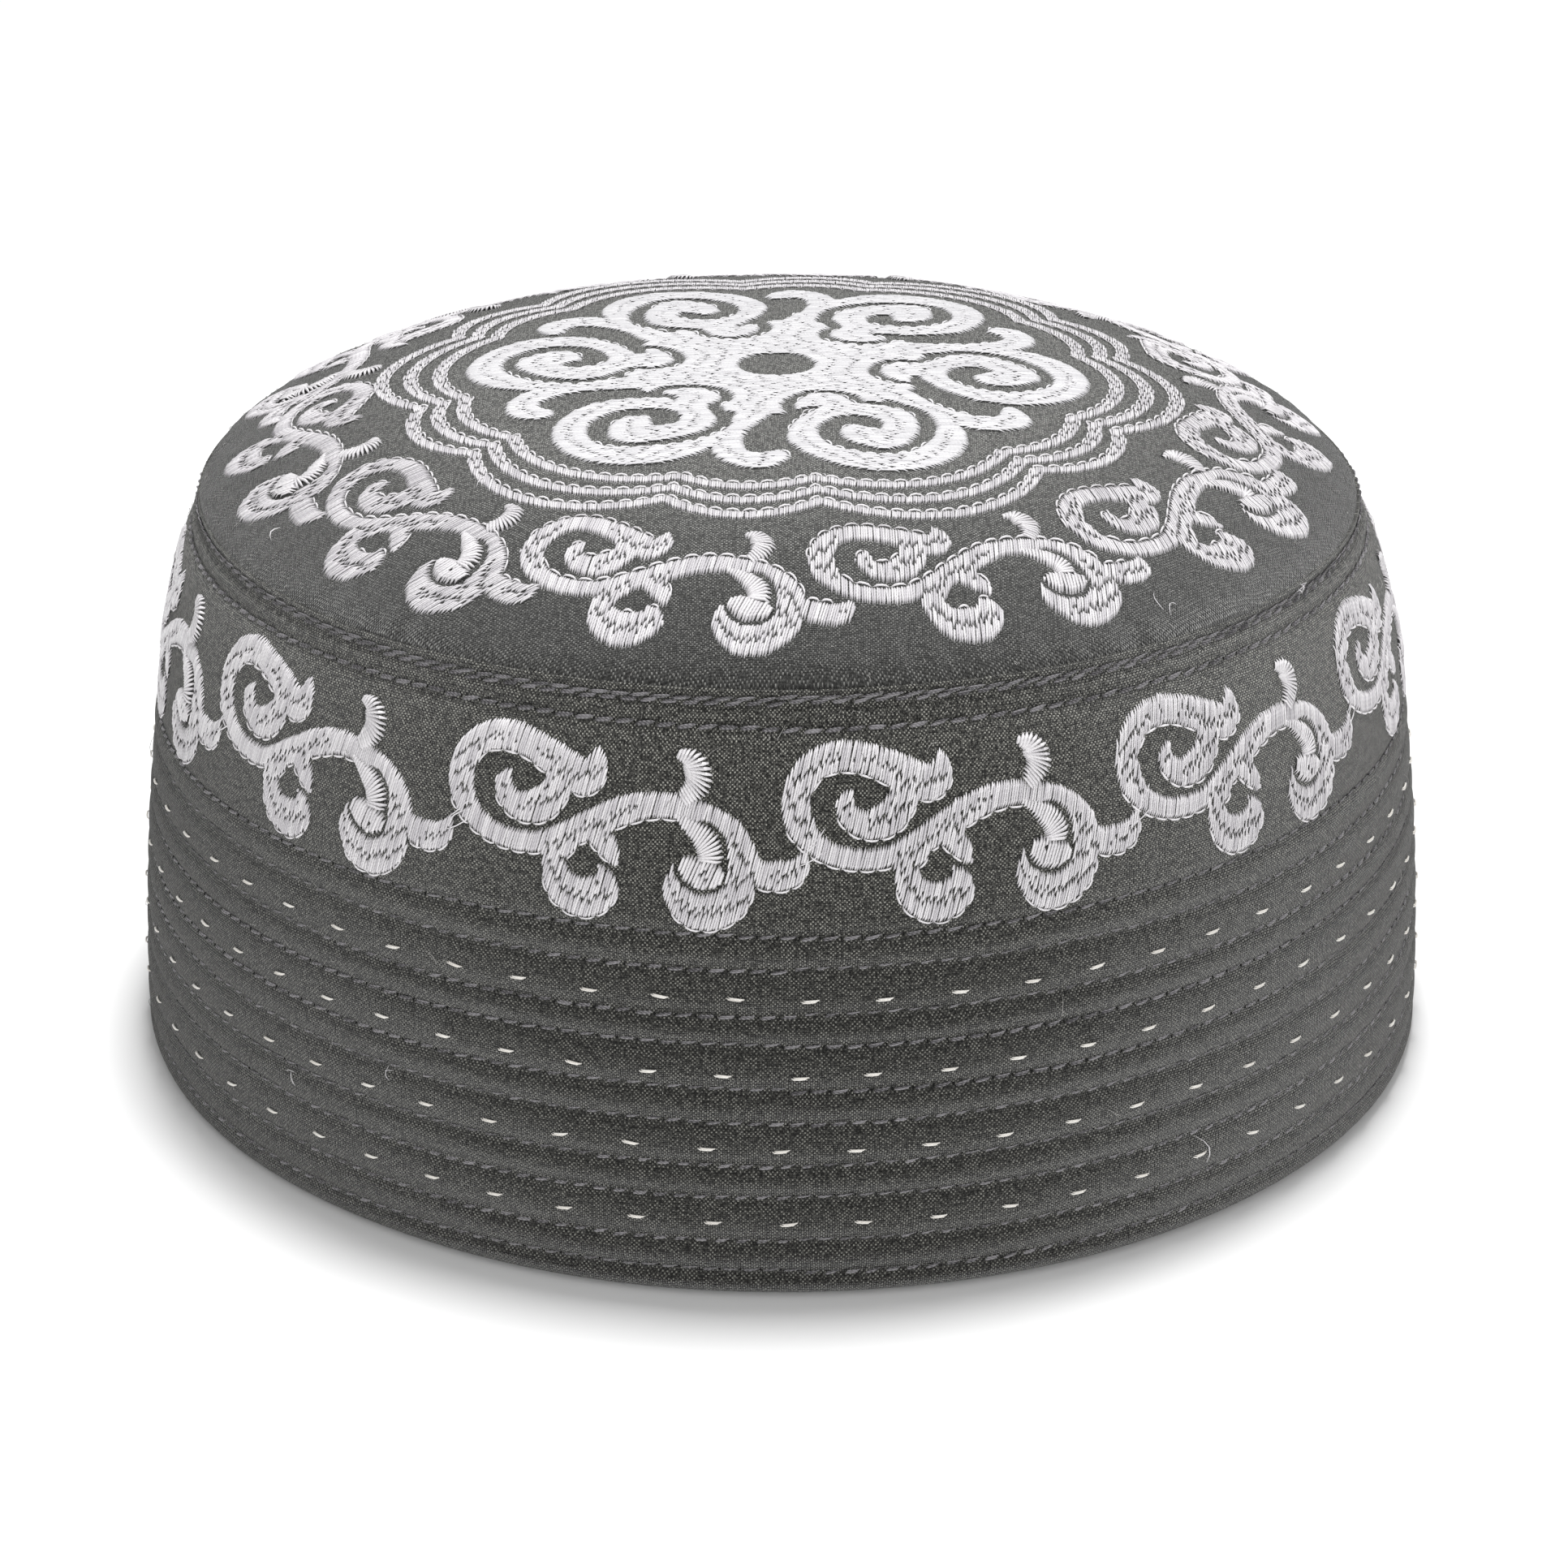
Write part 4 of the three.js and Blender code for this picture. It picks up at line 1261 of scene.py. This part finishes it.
class CAP_OT_running_stitches(Operator):
    """Four rows of short cream running stitches"""

    bl_idname = "cap.running_stitches"
    bl_label = "Running stitches"

    def execute(self, context):
        look = cap_look()
        rng = np.random.default_rng(61)
        paths = []
        pitch = 2 * math.pi * FRIEZE_RADIUS / DASHES_A_TURN
        for row, phase in DASH_ROWS:
            radius = float(smooth_through(BAND_PROFILE, np.array([row]))[0])
            half = 1.0 * FRIEZE_RADIUS / radius
            for k in range(DASHES_A_TURN):
                x = math.radians(phase) * FRIEZE_RADIUS + k * pitch + rng.normal(0, 0.15)
                z = row + rng.normal(0, 0.12)
                slope = rng.normal(-0.02, 0.08)
                for strand in (-1, 1):
                    at = np.array([-1, -0.7, 0, 0.7, 1]) * half + strand * 0.12
                    height = z + strand * np.array([0.06, 0.09, 0.1, 0.09, 0.06]) + slope * at
                    paths.append(np.stack([x + at, height, [-0.12, 0.1, 0.14, 0.1, -0.12]], -1))
        group = {
            "paths": paths,
            "wide": np.array([0.18, 0.25, 0.27, 0.25, 0.18]),
            "tall": np.array([0.14, 0.24, 0.26, 0.24, 0.14]),
            "sides": 5,
            "rng": rng,
        }
        material = thread_material("running_thread", look.dash_dark, look.dash_light, 0.5)
        settled(strand_mesh("running_stitches", [group], on_band, material), "white_thread")
        return {"FINISHED"}


class CAP_OT_lint(Operator):
    """Stray fibres, lint and a few loose threads"""

    bl_idname = "cap.lint"
    bl_label = "Lint"

    def execute(self, context):
        look = cap_look()
        rng = np.random.default_rng(71)
        round_band = 2 * math.pi * FRIEZE_RADIUS
        on_side = []
        on_top = []
        for k in range(look.fibres):
            along = rng.uniform(0, round_band)
            height = rng.uniform(2, 70) if k % 2 else rng.uniform(66, 78)
            on_side.append(self.fibre((along, height), rng.uniform(1.2, 3.5), rng))
        for k in range(look.lint):
            along = rng.uniform(0, round_band)
            height = rng.uniform(2, 78) if k % 3 == 0 else 78.3 - abs(rng.normal(0, 5))
            on_side.append(self.fibre((along, height), rng.uniform(0.25, 0.7), rng))
            if k % 3 == 0:
                turn = rng.uniform(0, 2 * math.pi)
                radius = SEAM_RADIUS - abs(rng.normal(0, 5))
                spot = (radius * math.sin(turn), -radius * math.cos(turn))
                on_top.append(self.fibre(spot, rng.uniform(0.25, 0.7), rng))
        fluff = thread_material("lint", look.fluff_dark, look.fluff_light, 0.8)
        thick = [0.03, 0.07, 0.07, 0.07, 0.03]
        for name, paths, place in (("band", on_side, on_band), ("crown", on_top, on_crown)):
            group = {"paths": paths, "wide": thick, "tall": thick, "rng": rng}
            settled(strand_mesh(name + "_lint", [group], place, fluff), "white_thread")
        for name, table, place in (("band", BAND_LOOSE, on_band), ("crown", CROWN_LOOSE, on_crown)):
            paths = [bowed_thread(row[:2], row[2:4], row[4], 0.35) for row in table]
            group = run_group(paths, rng, 0.09)
            made = strand_mesh(name + "_loose_threads", [group], place, silver_thread())
            settled(made, "white_thread")
        return {"FINISHED"}

    def fibre(self, first, length, rng):
        """One fine curved fibre that starts at a place."""
        way = rng.uniform(0, 2 * math.pi)
        last = (first[0] + length * math.cos(way), min(first[1] + length * math.sin(way), 78.4))
        return bowed_thread(first, last, length * rng.uniform(-0.35, 0.35), length * 0.12)


class CAP_OT_stage(Operator):
    """Pale floor, soft studio light and the camera"""

    bl_idname = "cap.stage"
    bl_label = "Stage"

    def execute(self, context):
        look = cap_look()
        ground = bmesh.new()
        bmesh.ops.create_grid(ground, x_segments=1, y_segments=1, size=4)
        mesh = bpy.data.meshes.new("floor")
        ground.to_mesh(mesh)
        ground.free()
        paint = bpy.data.materials.new("floor")
        paint.use_nodes = True
        shader = paint.node_tree.nodes["Principled BSDF"]
        shader.inputs["Base Color"].default_value = look.floor
        shader.inputs["Roughness"].default_value = 0.8
        mesh.materials.append(paint)
        floor = bpy.data.objects.new("floor", mesh)
        context.collection.objects.link(floor)
        world = bpy.data.worlds.new("studio")
        world.use_nodes = True
        glow = world.node_tree.nodes["Background"]
        glow.inputs["Color"].default_value = (1, 1, 1, 1)
        glow.inputs["Strength"].default_value = WORLD_STRENGTH
        context.scene.world = world
        context.scene.view_settings.view_transform = "Standard"
        for name, values in LIGHTS.items():
            self.lamp(context, name, *values)
        camera = bpy.data.objects.new("camera", bpy.data.cameras.new("camera"))
        camera.data.lens = CAMERA_LENS
        camera.data.sensor_width = 36
        camera.location = CAMERA_PLACE
        camera.rotation_euler = (math.radians(90 - CAMERA_DOWN), 0, 0)
        context.collection.objects.link(camera)
        context.scene.camera = camera
        return {"FINISHED"}

    def lamp(self, context, name, place, target, size, watts):
        """One soft square light that faces the target."""
        data = bpy.data.lights.new(name, "AREA")
        data.size = size
        data.energy = watts
        made = bpy.data.objects.new(name, data)
        made.location = place
        way = Vector(target) - Vector(place)
        made.rotation_euler = way.to_track_quat("-Z", "Y").to_euler()
        context.collection.objects.link(made)


class CAP_PT_panel(Panel):
    """Buttons for the pieces of the cap"""

    bl_idname = "CAP_PT_panel"
    bl_label = "Prayer cap"
    bl_space_type = "VIEW_3D"
    bl_region_type = "UI"
    bl_category = "Cap"

    def draw(self, context):
        """Lists the settings, then the pieces."""
        for name in CapLook.__annotations__:
            self.layout.prop(context.scene.cap_look, name)
        for made in OPERATORS:
            self.layout.operator(made.bl_idname)


OPERATORS = (
    CAP_OT_band_cloth,
    CAP_OT_crown_cloth,
    CAP_OT_rosette,
    CAP_OT_scallops,
    CAP_OT_crown_scrolls,
    CAP_OT_band_scrolls,
    CAP_OT_quilting,
    CAP_OT_running_stitches,
    CAP_OT_lint,
    CAP_OT_stage,
)


def register():
    """Adds the settings, the operators and the panel."""
    for made in (CapLook, *OPERATORS, CAP_PT_panel):
        bpy.utils.register_class(made)
    bpy.types.Scene.cap_look = PointerProperty(type=CapLook)


def unregister():
    """Takes them away again."""
    del bpy.types.Scene.cap_look
    for made in (CAP_PT_panel, *reversed(OPERATORS), CapLook):
        bpy.utils.unregister_class(made)


def main():
    """Makes the whole cap."""
    register()
    bpy.ops.cap.band_cloth()
    bpy.ops.cap.crown_cloth()
    bpy.ops.cap.rosette()
    bpy.ops.cap.scallops()
    bpy.ops.cap.crown_scrolls()
    bpy.ops.cap.band_scrolls()
    bpy.ops.cap.quilting()
    bpy.ops.cap.running_stitches()
    bpy.ops.cap.lint()
    bpy.ops.cap.stage()


if __name__ == "__main__":
    main()
